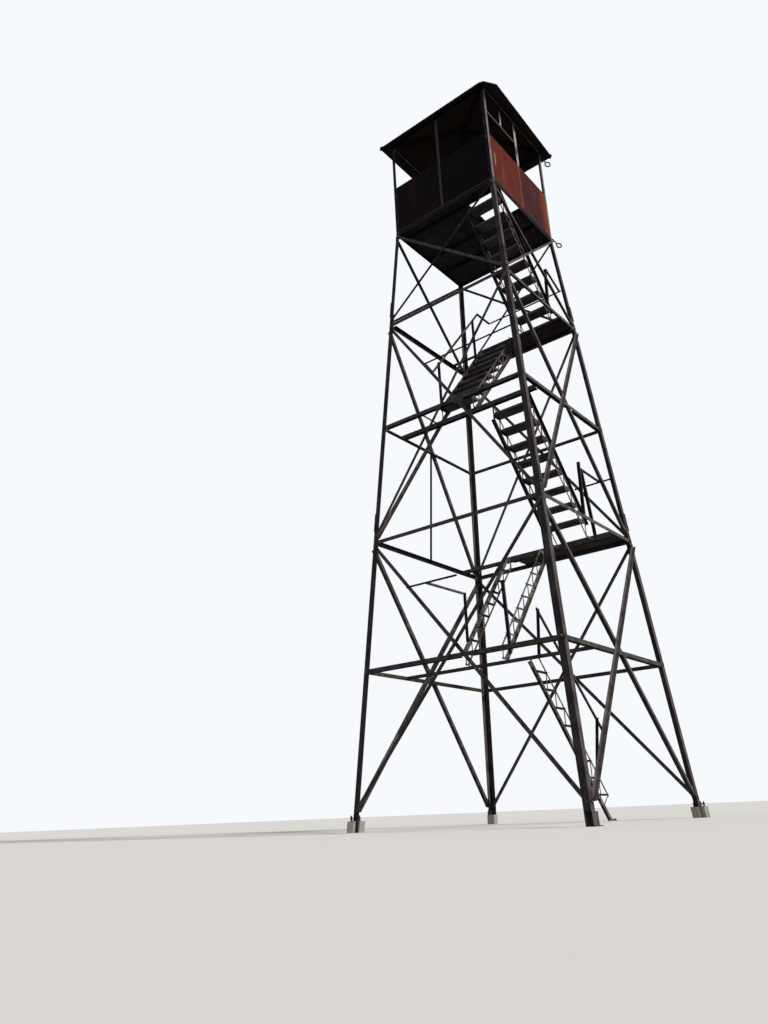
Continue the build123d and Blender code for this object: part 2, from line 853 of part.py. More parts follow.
# Sash bar of the right window, behind the post and the mullion
with BuildPart() as sash_bar:
    start_y, end_y = -sheet_out + 0.3, mullion_w / 2
    x = sheet_out - frame_t / 2
    with Locations((x, (start_y + end_y) / 2, floor_z + sash_height)):
        Box(frame_t, end_y - start_y, sash_w)

# Roof: a low pyramid of four sheets on hip rafters that rest on the top plates
eave_half = cab_half + overhang
roof_len = math.hypot(eave_half, roof_rise)
with BuildPart() as roof_sheets:
    for face in range(4):
        out, side = faces[face]
        slope_dir = (up * roof_rise - out * eave_half).normalized()
        spot = Plane(origin=out * eave_half + up * eave_z, x_dir=side, z_dir=side.cross(slope_dir))
        stretch = roof_len / eave_half
        top_run = (eave_half - cap_half) * stretch
        trim = 2.4
        left = [(-eave_half + trim, 0)]
        right = [(eave_half - trim, 0)]
        hip_spot = (eave_half - clip_hip) * stretch
        if face == 0:
            bend = (clip_front[0], (eave_half - clip_front[1]) * stretch)
            right = [bend, (clip_hip - trim, hip_spot)]
        if face == 1:
            bend = (-clip_right[0], (eave_half - clip_right[1]) * stretch)
            left = [(-clip_hip + trim, hip_spot), bend]
        with BuildSketch(spot):
            Polygon(*left, *right, (cap_half - trim, top_run), (-cap_half + trim, top_run), align=None)
        extrude(amount=-roof_t)

# Hip rafters stand on edge under the hips; their feet are cut to sit on the plates
hip_run = math.sqrt(2.0) * eave_half
hip_slope = roof_rise / hip_run
hip_drop = roof_t / math.cos(math.atan(roof_slope)) + rafter_t / 2 * roof_slope / math.sqrt(2.0) + 0.3
plate_run = math.sqrt(2.0) * (cab_half - post_w)
with BuildPart() as roof_rafters:
    for sx, sy in corners:
        outward = Vector(sx, sy, 0).normalized()
        spot = Plane(origin=up * eave_z, x_dir=outward, z_dir=outward.cross(up))
        clipped = (sx, sy) == (1, -1)
        foot = math.sqrt(2.0) * clip_hip - 16.0 if clipped else hip_run - 40.0
        seat = plate_top - eave_z + 0.2
        with BuildSketch(spot):
            top_in = (hip_run - 30.0) * hip_slope - hip_drop
            top_out = (hip_run - foot) * hip_slope - hip_drop
            Polygon(
                (30.0, top_in),
                (foot, top_out),
                (foot, top_out - 10.0),
                (plate_run, top_out - 10.0),
                (30.0, top_in - rafter_w),
                align=None,
            )
            Polygon(
                (0, -500.0),
                (hip_run, -500.0),
                (hip_run, seat),
                (plate_run - 4.0, seat),
                (plate_run - 4.0, seat - 80.0),
                (0, seat - 80.0),
                align=None,
                mode=Mode.SUBTRACT,
            )
        extrude(amount=rafter_t / 2, both=True)



# Cap where the four sheets meet: a small pyramid lapped over their upper edges
def roof_z(half):
    return eave_z + roof_rise * (1 - half / eave_half)


with BuildPart() as roof_cap:
    with BuildSketch(Plane.XY.offset(roof_z(cap_out) + 0.4)):
        Rectangle(2 * cap_out, 2 * cap_out)
    extrude(amount=cap_t)
    with BuildSketch(Plane.XY.offset(roof_z(cap_out) + 0.4 + cap_t)):
        Rectangle(2 * cap_out, 2 * cap_out)
    with BuildSketch(Plane.XY.offset(roof_z(4.0) + 0.4 + cap_t)):
        Rectangle(8.0, 8.0)
    loft()
    with BuildSketch(Plane.XY.offset(roof_z(cap_out + 6.0) + 0.4)):
        Rectangle(2 * cap_out + 12.0, 2 * cap_out + 12.0)
    with BuildSketch(Plane.XY.offset(roof_z(1.0) + 0.4)):
        Rectangle(2.0, 2.0)
    loft(mode=Mode.SUBTRACT)

# Feet: a pair of blocks clamps each leg, with anchor rods standing in them
block_corners = [(-1, -1), (1, 1), (-1, 1)]
with BuildPart() as foot_blocks:
    for sx, sy in block_corners:
        lean = Vector(-sx * batter, -sy * batter, 1)
        base = Plane(origin=(sx * base_half, sy * base_half, 0))
        near = leg_t + 0.3
        far = near + block_side
        with BuildSketch(base):
            Polygon(
                (-sx * near, -sy * near),
                (-sx * far, -sy * near),
                (-sx * far, -sy * far),
                (-sx * near, -sy * far),
                align=None,
            )
        extrude(amount=block_h, dir=lean.normalized())
        with BuildSketch(base):
            Polygon(
                (sx * 0.3, sy * 0.3),
                (sx * 0.3, -sy * 55.0),
                (sx * 60.0, -sy * 55.0),
                (sx * 95.0, sy * 20.0),
                (sx * 20.0, sy * 95.0),
                (-sx * 55.0, sy * 60.0),
                (-sx * 55.0, sy * 0.3),
                align=None,
            )
        extrude(amount=block_h, dir=lean.normalized())

with BuildPart() as anchor_rods:
    for sx, sy in block_corners:
        lean = Vector(-sx * batter, -sy * batter, 1).normalized()
        top = Vector(sx * base_half, sy * base_half, 0) + lean * block_h
        for dx, dy in ((-92.0, -38.0), (-38.0, -92.0), (52.0, -18.0), (-18.0, 52.0)):
            spot = Location(top + Vector(sx * dx, sy * dy, 0))
            with Locations(spot):
                Cylinder(rod_r, rod_top, align=(Align.CENTER, Align.CENTER, Align.MIN))
            with BuildSketch(Plane(origin=top + Vector(sx * dx, sy * dy, 0))):
                RegularPolygon(18.0, 6)
            extrude(amount=16.0)

# The front right leg stands in a steel shoe with a toe plate on either side
with BuildPart() as foot_shoe:
    sx, sy = 1, -1
    lean = Vector(-sx * batter, -sy * batter, 1).normalized()
    base = Plane(origin=(sx * base_half, sy * base_half, 0))
    for near, far, tall in ((0.0, shoe_t, shoe_h), (0.0, shoe_t + shoe_toe, shoe_t)):
        with BuildSketch(base):
            Polygon(
                (sx * far, sy * far),
                (-sx * shoe_front, sy * far),
                (-sx * shoe_front, sy * near),
                (sx * near, sy * near),
                (sx * near, -sy * shoe_side),
                (sx * far, -sy * shoe_side),
                align=None,
            )
        extrude(amount=tall, dir=lean)

pieces = [
    (stair_posts, "stair_posts"),
    (stair_rails, "stair_rails"),
    (guard_rails, "guard_rails"),
    (sway_rod, "sway_rod"),
    (sash_bar, "sash_bar"),
    (foot_shoe, "foot_shoe"),
    (legs_lower, "legs_lower"),
    (legs_middle, "legs_middle"),
    (legs_upper, "legs_upper"),
    (leg_splices, "leg_splices"),
    (brace_packs, "brace_packs"),
    (landing_beams, "landing_beams"),
    (cab_floor_frame, "cab_floor_frame"),
    (cab_floor, "cab_floor"),
    (cab_posts, "cab_posts"),
    (cab_panels, "cab_panels"),
    (cab_top_plates, "cab_top_plates"),
    (cab_mullions, "cab_mullions"),
    (cab_sills, "cab_sills"),
    (cab_floor_joists, "cab_floor_joists"),
    (roof_sheets, "roof_sheets"),
    (roof_rafters, "roof_rafters"),
    (roof_cap, "roof_cap"),
    (foot_blocks, "foot_blocks"),
    (anchor_rods, "anchor_rods"),
]
for piece, name in pieces:
    piece.part.label = name
    export_step(piece.part, "parts/" + name + ".step")
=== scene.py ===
"""Fire lookout tower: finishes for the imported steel, boards and sheets, the bars that are drawn
anew, the bolts, hip caps and seams that fasten them, and a pale studio stage.

Metres. Origin on the floor at the centre of the base, +Z up, front face towards -Y.
"""

import math
from functools import reduce

import bpy
import numpy as np
from mathutils import Matrix, Vector


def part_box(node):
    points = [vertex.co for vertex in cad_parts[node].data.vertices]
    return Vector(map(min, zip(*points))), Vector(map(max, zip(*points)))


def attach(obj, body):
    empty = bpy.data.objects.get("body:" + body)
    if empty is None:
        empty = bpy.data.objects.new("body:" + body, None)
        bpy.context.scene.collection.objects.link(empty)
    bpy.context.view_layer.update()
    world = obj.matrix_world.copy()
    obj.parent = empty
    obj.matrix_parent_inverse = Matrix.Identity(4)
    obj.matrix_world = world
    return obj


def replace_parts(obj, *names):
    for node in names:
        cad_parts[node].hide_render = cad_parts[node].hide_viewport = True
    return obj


bl_info = {
    "name": "Fire Lookout Tower",
    "version": (1, 0, 0),
    "blender": (4, 5, 0),
    "location": "3D View > Sidebar > Lookout",
    "description": "Finishes, fixings and stage for the packed lookout tower",
    "category": "Object",
}

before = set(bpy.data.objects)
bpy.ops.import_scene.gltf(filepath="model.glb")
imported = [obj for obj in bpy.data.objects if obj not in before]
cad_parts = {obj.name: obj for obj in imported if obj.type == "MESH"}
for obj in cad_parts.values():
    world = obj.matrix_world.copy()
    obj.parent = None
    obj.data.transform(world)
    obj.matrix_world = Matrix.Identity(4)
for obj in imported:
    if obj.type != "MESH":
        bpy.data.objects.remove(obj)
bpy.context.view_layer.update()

UP = np.array([0.0, 0.0, 1.0])
OUTWARD = np.array([(0.0, -1.0, 0.0), (1.0, 0.0, 0.0), (0.0, 1.0, 0.0), (-1.0, 0.0, 0.0)])
# The way out of each face and the way along it: front, right, back and left
FACES = list(zip(OUTWARD, np.roll(OUTWARD, -1, axis=0)))
CORNERS = [(-1, -1), (1, -1), (1, 1), (-1, 1)]
HANDS = (-1, 1)

# The tower's own lines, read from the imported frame
BASE_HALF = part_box("legs_lower")[1].x
LEG_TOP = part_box("legs_upper")[1].z
SPLICES = [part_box("legs_middle")[0].z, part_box("legs_upper")[0].z]
BATTER = (BASE_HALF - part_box("legs_upper")[1].x) / SPLICES[1]
GIRT_NODES = [f"girts_level_{level}" for level in (1, 2, 3, 4)]
GIRT_Z = [(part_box(name)[0].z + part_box(name)[1].z) / 2 for name in GIRT_NODES]
CAB_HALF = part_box("cab_posts")[1].x
PANEL_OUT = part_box("cab_panels")[1].x
PANEL_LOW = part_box("cab_panels")[0].z
PANEL_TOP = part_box("cab_panels")[1].z
PLATE_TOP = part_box("cab_top_plates")[1].z
PEAK_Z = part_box("roof_cap")[1].z
EAVE_HALF = -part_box("roof_sheets")[0].x

# The bars: thickness of the legs, section of the girts, and gaps at the bars' ends
LEG_THICK = 0.008
GIRT_WIDTH = 0.065
GIRT_THICK = 0.006
GIRT_GAP = 0.005
GIRT_GAP_SIDES = 0.014
GIRT_COPE = 0.084
BRACE_THICK = 0.006
BRACE_FOOT = 0.300
BRACE_GAP = 0.096
# Each tier of crossed braces: its foot, its head, how far its ends lie inside the corners,
# the width of its angle bars, and how deep the inner bars lie behind the legs
BRACE_TIERS = [
    (BRACE_FOOT, GIRT_Z[1] - BRACE_GAP, 0.052, 0.060, 0.014),
    (GIRT_Z[1] + BRACE_GAP, GIRT_Z[3] - BRACE_GAP, 0.046, 0.054, 0.014),
    (GIRT_Z[3] + BRACE_GAP, LEG_TOP - BRACE_GAP, 0.040, 0.042, 0.008),
]

# The roof: its sheets lie over the plates at the cab's walls, and under the cap at the peak
SHEET_RISE = 0.005
CAP_RISE = 0.0034
CAP_REACH = 0.004
ROOF_SLOPE = (PEAK_Z - CAP_RISE - PLATE_TOP - SHEET_RISE) / (CAB_HALF - CAP_REACH)
# The eaves in plan, face by face; the roof's front right corner is bent and clipped
CLIP = 1.199
EAVES = [
    [(-EAVE_HALF, -EAVE_HALF), (1.120, -1.264), (CLIP, -CLIP)],
    [(CLIP, -CLIP), (1.380, -1.050), (EAVE_HALF, EAVE_HALF)],
    [(EAVE_HALF, EAVE_HALF), (-EAVE_HALF, EAVE_HALF)],
    [(-EAVE_HALF, EAVE_HALF), (-EAVE_HALF, -EAVE_HALF)],
]


def roof_z(reach):
    """Height of the roof at a distance from the centre: the eave height less the slope."""
    return PLATE_TOP + SHEET_RISE + ROOF_SLOPE * (CAB_HALF - reach)


def half_at(z):
    """Half the tower's width at height z: the base half less the batter times z."""
    return BASE_HALF - BATTER * z


def lean(out):
    """The normal of a face of the tower, which leans inwards by the batter."""
    normal = out + UP * BATTER
    return normal / np.linalg.norm(normal)


# Settings


def size(name, description, default):
    return bpy.props.FloatProperty(
        name=name, description=description, default=default, min=0.0, unit="LENGTH"
    )


def colour(name, description, default):
    return bpy.props.FloatVectorProperty(
        name=name, description=description, default=default, min=0.0, max=1.0, subtype="COLOR"
    )


class LookoutFixings(bpy.types.PropertyGroup):
    """Sizes of the bolts, the roof trim and the thin bars"""

    bolt_radius: size("Bolt head", "Radius across the corners of a bolt head", 0.017)
    bolt_height: size("Bolt height", "Height of a bolt head above the steel", 0.011)
    washer_radius: size("Washer", "Radius of the washer under a bolt head", 0.021)
    rivet_radius: size("Rivet head", "Radius of a rivet in the cab's sheets", 0.009)
    hip_width: size("Hip cap", "Width of each wing of a hip cap", 0.055)
    trim_thick: size("Trim", "Thickness of the folded sheet trim", 0.002)
    lip_drop: size("Eave lip", "Depth of the folded lip along the eaves", 0.018)
    ring_wire: size("Eye ring wire", "Radius of the wire of the eye rings", 0.013)
    rod_radius: size("Wall rod", "Radius of the upright rod in the left wall", 0.019)
    rail_width: size("Hand rail", "Least width of a hand rail", 0.032)
    post_width: size("Rail post", "Least width of a hand rail's post", 0.055)


class LookoutColours(bpy.types.PropertyGroup):
    """Colours of the weathered finishes"""

    steel_dark: colour("Dark steel", "Steel in its darkest patches", (0.0125, 0.0120, 0.0150))
    steel_light: colour("Worn steel", "Steel where the surface is worn", (0.060, 0.054, 0.058))
    # Painted light: the paler colour of steel faces that the light falls on, and of the posts' sunlit
    # side
    painted_sunlight: colour("Sunlit steel", "Steel that the sun has bleached", (0.142, 0.123, 0.122))
    post_pale: colour("Cab posts", "Sunlit side of the cab's posts", (0.25, 0.235, 0.24))
    rust: colour("Rust", "Rust on the bars", (0.080, 0.042, 0.031))
    lichen: colour("Lichen", "Pale lichen on the bars", (0.27, 0.27, 0.24))
    moss: colour("Moss", "Moss along the lowest girts", (0.075, 0.085, 0.032))
    wood_dark: colour("Dark board", "Dark grain of the boards", (0.038, 0.036, 0.040))
    wood_light: colour("Pale board", "Pale grain of the boards", (0.160, 0.148, 0.150))
    panel_red: colour("Panel red", "Red rust of the cab's sheets", (0.115, 0.022, 0.016))
    panel_maroon: colour("Panel maroon", "Old paint of the cab's sheets", (0.052, 0.016, 0.020))
    panel_orange: colour("Panel orange", "Fresh rust of the cab's sheets", (0.235, 0.062, 0.016))
    panel_shade: colour("Panel in shade", "The cab's other sides", (0.0070, 0.0045, 0.0050))
    panel_green: colour("Panel foot", "Growth along the sheets' lower edge", (0.16, 0.14, 0.03))
    paint_pale: colour("Old white paint", "Paint left on the uprights", (0.42, 0.41, 0.40))
    roof_black: colour("Roof", "Dark weathered roof sheet", (0.030, 0.025, 0.023))
    block_pale: colour("Foot block", "Pale weathered blocks at the feet", (0.42, 0.40, 0.36))
    floor: colour("Stage floor", "Pale floor of the stage", (0.80, 0.79, 0.77))


def fixings():
    return bpy.context.scene.lookout_fixings


def colours():
    return bpy.context.scene.lookout_colours


# Shapes, each a pair of vertices and faces


def new_piece(name, shape, material):
    """A finished piece: its place is in its mesh, and it rides on the tower."""
    verts, faces = shape
    mesh = bpy.data.meshes.new(name)
    mesh.from_pydata(verts.tolist(), [], faces)
    mesh.update()
    piece = bpy.data.objects.new(name, mesh)
    bpy.context.scene.collection.objects.link(piece)
    piece.data.materials.append(material)
    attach(piece, "root")
    return piece


def joined(shapes):
    """Several shapes as one."""
    verts, faces, start = [], [], 0
    for points, polygons in shapes:
        verts.append(points)
        faces += [[i + start for i in polygon] for polygon in polygons]
        start += len(points)
    return np.concatenate(verts), faces


def circle(count):
    """Points (cos a, sin a) at equal angles a round a circle."""
    angle = np.arange(count) * 2 * math.pi / count
    return np.stack([np.cos(angle), np.sin(angle)], -1)


def ring_faces(rings, points, closed=False):
    """Quads between neighbouring rings of points; closed joins the last ring to the first."""
    r, c = np.meshgrid(np.arange(rings if closed else rings - 1), np.arange(points), indexing="ij")
    below, above, following = r * points, (r + 1) % rings * points, (c + 1) % points
    quads = np.stack([below + c, below + following, above + following, above + c], -1)
    return quads.reshape(-1, 4).tolist()


def capped(rings, points):
    """The faces of a tube of rings, with both ends capped."""
    first = list(range(points))
    last = [(rings - 1) * points + i for i in first]
    return [*ring_faces(rings, points), first[::-1], last]


def turned(profile, sides):
    """A turned form: each profile pair (radius, height) makes a ring of points at
    x = radius cos(angle), y = radius sin(angle), z = height."""
    profile = np.asarray(profile, float)
    flat = profile[:, None, :1] * circle(sides)
    heights = np.broadcast_to(profile[:, None, 1:], (*flat.shape[:2], 1))
    return np.concatenate([flat, heights], -1).reshape(-1, 3), capped(len(profile), sides)


def scatter(shape, spots, normals):
    """Copies of a turned form: point p goes to spot + p.x u + p.y v + p.z n, where n is the
    normal of the spot and u, v are at right angles to it."""
    verts, faces = shape
    spots = np.asarray(spots, float)
    n = np.broadcast_to(np.asarray(normals, float), spots.shape)
    n = n / np.linalg.norm(n, axis=1, keepdims=True)
    side = np.where(np.abs(n[:, 2:]) < 0.9, [[0.0, 0.0, 1.0]], [[1.0, 0.0, 0.0]])
    u = np.cross(side, n)
    u = u / np.linalg.norm(u, axis=1, keepdims=True)
    axes = np.stack([u, np.cross(n, u), n], 1)
    placed = spots[:, None] + verts @ axes
    starts = np.arange(len(spots)) * len(verts)
    return placed.reshape(-1, 3), [[i + k for i in face] for k in starts.tolist() for face in faces]


def carried(profile, path, side, rise):
    """A closed profile carried along a path: ring i is path[i] + a side[i] + b rise[i] for
    each profile point (a, b), and both ends are capped. The profile is taken in the order
    that turns the faces outwards."""
    profile = np.asarray(profile, float)
    path = np.asarray(path, float)
    side = np.broadcast_to(np.asarray(side, float), path.shape)
    rise = np.broadcast_to(np.asarray(rise, float), path.shape)
    following = np.roll(profile, -1, axis=0)
    area = (profile[:, 0] * following[:, 1] - profile[:, 1] * following[:, 0]).sum()
    if area * np.dot(np.cross(side[0], rise[0]), path[-1] - path[0]) < 0:
        profile = profile[::-1]
    a, b = profile[None, :, :1], profile[None, :, 1:]
    verts = path[:, None] + a * side[:, None] + b * rise[:, None]
    return verts.reshape(-1, 3), capped(len(path), len(profile))


def wire_ring(centre, across, up, radius, wire, turns=28, sides=8):
    """A ring of wire: point (a, b) is centre + (radius + wire cos b)(cos a across + sin a up)
    + wire sin b times the ring's axis."""
    spoke = circle(turns) @ np.stack([across, up])
    cos_b, sin_b = (circle(sides)[:, None, k, None] for k in (0, 1))
    verts = centre + (radius + wire * cos_b) * spoke + wire * sin_b * np.cross(across, up)
    return verts.reshape(-1, 3), ring_faces(sides, turns, closed=True)


def wire_bar(path, radius, sides=8):
    """A round bar: a circle of the given radius carried along a path of points."""
    path = np.asarray(path, float)
    run = path[-1] - path[0]
    run = run / np.linalg.norm(run)
    side = np.cross(run, (0, 0, 1) if abs(run[2]) < 0.9 else (1, 0, 0))
    side = side / np.linalg.norm(side)
    return carried(radius * circle(sides), path, side, np.cross(side, run))


def solids_of(name):
    """Points, triangles and solid labels of a CAD node: labels spread over its triangles until
    every solid has one label of its own."""
    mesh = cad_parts[name].data
    mesh.calc_loop_triangles()
    points = np.empty(len(mesh.vertices) * 3)
    mesh.vertices.foreach_get("co", points)
    corners = np.empty(len(mesh.loop_triangles) * 3, int)
    mesh.loop_triangles.foreach_get("vertices", corners)
    points, same = np.unique(points.reshape(-1, 3).round(5), axis=0, return_inverse=True)
    corners = same.reshape(-1)[corners].reshape(-1, 3)
    label = np.arange(len(points))
    while True:
        spread = label.copy()
        np.minimum.at(spread, corners.ravel(), np.repeat(label[corners].min(1), 3))
        if (spread == label).all():
            break
        label = spread
    return points, corners, label


def solid_boxes(name):
    """The box (low, high) of each solid of a CAD node."""
    points, _, label = solids_of(name)
    return [(points[label == k].min(0), points[label == k].max(0)) for k in np.unique(label)]


def thickened(name, width):
    """The solids of a CAD node, each stretched along X and along Y about the middle of its own
    box until it is at least `width` wide there."""
    points, corners, label = solids_of(name)
    for k in np.unique(label):
        mine = label == k
        low, high = points[mine].min(0), points[mine].max(0)
        middle = (low + high) / 2
        factor = np.maximum(1.0, width / (high - low))
        factor[2] = 1.0
        points[mine] = middle + (points[mine] - middle) * factor
    return points, corners.tolist()


# Shader groups


class Nodes:
    """Adds nodes to a tree; each pattern method returns the output of what it adds."""

    def __init__(self, tree):
        self.tree = tree

    def fill(self, socket, value):
        """Links a socket to another, or puts a number, a vector or a colour into it."""
        if isinstance(value, bpy.types.NodeSocket):
            self.tree.links.new(value, socket)
        elif socket.type == "RGBA":
            socket.default_value = (*value, 1.0)
        else:
            socket.default_value = value

    def add(self, kind, inputs=(), **settings):
        """A new node with its settings made and its inputs filled."""
        node = self.tree.nodes.new(kind)
        for name, value in settings.items():
            setattr(node, name, value)
        for key, value in dict(inputs).items():
            self.fill(node.inputs[key], value)
        return node

    def maths(self, operation, *values):
        node = self.add("ShaderNodeMath", enumerate(values), operation=operation)
        return node.outputs["Value"]

    def plus(self, *values):
        return reduce(lambda a, b: self.maths("ADD", a, b), values)

    def times(self, *values):
        return reduce(lambda a, b: self.maths("MULTIPLY", a, b), values)

    def larger(self, *values):
        return reduce(lambda a, b: self.maths("MAXIMUM", a, b), values)

    def scaled(self, value, factor, offset):
        """The value times a factor, plus an offset."""
        return self.maths("MULTIPLY_ADD", value, factor, offset)

    def ramp(self, value, start, end):
        """Runs from 0 at start to 1 at end, smoothed; the end may be the lower one."""
        inputs = {"Value": value, "From Min": start, "From Max": end}
        node = self.add("ShaderNodeMapRange", inputs, interpolation_type="SMOOTHSTEP")
        return node.outputs["Result"]

    def band(self, value, low, high, soft):
        """A mask that is 1 between low and high, with soft edges."""
        rising = self.ramp(value, low - soft, low + soft)
        return self.times(rising, self.ramp(value, high + soft, high - soft))

    def parts(self, vector):
        node = self.add("ShaderNodeSeparateXYZ", {"Vector": vector})
        return node.outputs["X"], node.outputs["Y"], node.outputs["Z"]

    def mix(self, factor, a, b, kind="MIX"):
        """Colour a where the factor is 0 and b where it is 1."""
        inputs = {0: factor, 6: a, 7: b}
        return self.add("ShaderNodeMix", inputs, data_type="RGBA", blend_type=kind).outputs[2]

    def grained(self, base, fine, depth):
        """Darkens a colour with fine noise: depth 0 leaves it, 1 is strong."""
        grain = self.scaled(fine, depth, 1.0 - depth / 2)
        shade = self.add("ShaderNodeCombineColor", {0: grain, 1: grain, 2: grain})
        return self.mix(1.0, base, shade.outputs["Color"], "MULTIPLY")


class Surface(Nodes):
    """A new shader group with colours and amounts as inputs. It puts out the colour, the
    roughness and the height of a surface, all from object coordinates."""

    def __init__(self, name, tints, amounts):
        super().__init__(bpy.data.node_groups.new(name, "ShaderNodeTree"))
        for in_out, labels, kind in (
            ("INPUT", tints, "NodeSocketColor"),
            ("INPUT", amounts, "NodeSocketFloat"),
            ("OUTPUT", ["Color"], "NodeSocketColor"),
            ("OUTPUT", ["Roughness", "Height"], "NodeSocketFloat"),
        ):
            for label in labels:
                self.tree.interface.new_socket(name=label, in_out=in_out, socket_type=kind)
        self.given = self.add("NodeGroupInput").outputs
        texture = self.add("ShaderNodeTexCoord")
        self.place = texture.outputs["Object"]
        self.facing = texture.outputs["Normal"]

    def noise(self, scale, stretch=(1.0, 1.0, 1.0), detail=4.0, shift=0.0):
        """Noise stretched along the axes, and shifted so that no two patterns agree."""
        inputs = {"Scale": stretch, "Location": (shift, shift * 0.7, shift * 1.3)}
        moved = self.add("ShaderNodeMapping", {"Vector": self.place, **inputs})
        inputs = {"Vector": moved.outputs["Vector"], "Scale": scale, "Detail": detail}
        return self.add("ShaderNodeTexNoise", inputs).outputs["Fac"]

    def puts_out(self, tint, roughness, height):
        self.add("NodeGroupOutput", {"Color": tint, "Roughness": roughness, "Height": height})
        return self.tree


def steel_group():
    """Weathered steel: blotches of dark and worn steel, a paler colour painted on the faces towards
    +X and upwards as painted sunlight and on the faces towards -Y as painted front light, painted
    shade on the undersides, rust runs, and lichen, more of it on the tower's -X side."""
    s = Surface(
        "Weathered Steel",
        ["Dark", "Worn", "Painted Light", "Rust", "Lichen"],
        ["Wear", "Painted Sunlight Amount", "Painted Front Light", "Rust Amount", "Lichen Amount"],
    )
    x = s.parts(s.place)[0]
    facing_x, facing_y, facing_z = s.parts(s.facing)
    broad = s.noise(1.3, detail=3.0)
    blotch = s.noise(9.0, (1, 1, 0.55), 5.0, 3.0)
    fine = s.noise(85.0, shift=7.0)
    runs = s.noise(14.0, (1, 1, 0.12), 5.0, 11.0)
    spots = s.noise(11.0, (1, 1, 0.8), 6.0, 17.0)
    worn = s.ramp(s.plus(s.scaled(broad, 0.5, -0.25), blotch, s.given["Wear"]), 0.78, 1.28)
    base = s.mix(worn, s.given["Dark"], s.given["Worn"])
    patchy = s.scaled(s.ramp(blotch, 0.30, 0.62), 0.6, 0.4)
    # Painted sunlight: faces towards +X and upwards get the paler colour, as if lit by the key lamp
    sunlit = s.ramp(s.larger(facing_x, facing_z), 0.35, 0.85)
    base = s.mix(s.times(sunlit, patchy, s.given["Painted Sunlight Amount"]), base, s.given["Painted Light"])
    # Painted front light: faces towards -Y get the same paler colour
    front = s.ramp(facing_y, -0.45, -0.85)
    base = s.mix(s.times(front, patchy, s.given["Painted Front Light"]), base, s.given["Painted Light"])
    rusty = s.ramp(s.plus(runs, s.given["Rust Amount"]), 0.86, 1.10)
    base = s.mix(s.times(rusty, 0.75), base, s.given["Rust"])
    west = s.ramp(x, -1.15, -1.50)
    growth = s.ramp(s.scaled(west, 0.05, s.plus(spots, s.given["Lichen Amount"])), 0.80, 0.86)
    growth = s.times(growth, s.scaled(s.ramp(fine, 0.38, 0.62), 0.55, 0.45))
    base = s.mix(growth, base, s.given["Lichen"])
    # Painted shade: undersides are darkened towards the dark steel colour
    under = s.ramp(facing_z, -0.30, -0.90)
    base = s.mix(s.times(under, 0.60), base, s.given["Dark"])
    rough = s.scaled(growth, 0.15, s.scaled(rusty, 0.25, 0.55))
    height = s.scaled(growth, 0.5, s.plus(s.times(fine, 0.35), s.times(rusty, 0.3)))
    return s.puts_out(s.grained(base, fine, 0.5), rough, height)


def board_group(name, stretch):
    """Board grain along one axis: long fibres, broad tone changes and dark checks, with painted shade
    on the undersides.
    """
    s = Surface(name, ["Dark", "Pale", "Stain", "Split"], ["Stain Amount"])
    facing_z = s.parts(s.facing)[2]
    fibre = s.noise(46.0, stretch, 6.0)
    tone = s.noise(3.1, (1, 1, 4.0), 2.0, 5.0)
    stain = s.noise(2.3, (1, 1, 3.0), 4.0, 9.0)
    checks = s.noise(30.0, stretch, 2.0, 13.0)
    mixed = s.ramp(s.scaled(fibre, 0.9, s.times(tone, 0.6)), 0.50, 1.00)
    base = s.mix(mixed, s.given["Dark"], s.given["Pale"])
    wet = s.ramp(s.plus(stain, s.given["Stain Amount"]), 0.75, 1.05)
    base = s.mix(s.times(wet, 0.7), base, s.given["Stain"])
    split = s.ramp(checks, 0.66, 0.70)
    base = s.mix(s.times(split, 0.7), base, s.given["Split"])
    # Painted shade: undersides are darkened a little towards the dark grain colour
    under = s.ramp(facing_z, -0.30, -0.90)
    base = s.mix(s.times(under, 0.20), base, s.given["Dark"])
    return s.puts_out(base, s.scaled(fibre, 0.2, 0.72), s.maths("SUBTRACT", fibre, split))


def sheet_group():
    """Rusted sheet: broad patches of old paint, red rust, and runs of fresh orange rust."""
    s = Surface("Rusted Sheet", ["Red", "Maroon", "Orange"], ["Runs", "Paint"])
    patch = s.noise(1.1, (1, 1, 0.5), 3.0, 2.4)
    runs = s.noise(6.5, (1, 1, 0.10), 5.0, 6.1)
    fine = s.noise(60.0, (1, 1, 0.6), 5.0, 8.0)
    old = s.ramp(s.plus(patch, s.given["Paint"]), 0.84, 1.06)
    base = s.mix(old, s.given["Red"], s.given["Maroon"])
    fresh = s.ramp(s.plus(runs, s.given["Runs"]), 0.90, 1.12)
    base = s.mix(s.times(fresh, 0.8), base, s.given["Orange"])
    tint = s.grained(base, fine, 0.7)
    return s.puts_out(tint, s.scaled(fine, 0.3, 0.55), s.plus(fine, fresh))


# Places on the cab's right side, along Y or up Z: the painted half, the orange end of the
# sheet, the streaks low on its left, and the scratch beside the corner post
PAINTED_Y = (0.05, 0.84)
ORANGE_Y = (0.82, 0.90)
STREAKS_Y, STREAKS_Z = (-0.74, -0.42), (11.10, 11.45)
SCRATCH_Y, SCRATCH_Z = (-0.926, -0.904), (11.31, 11.61)


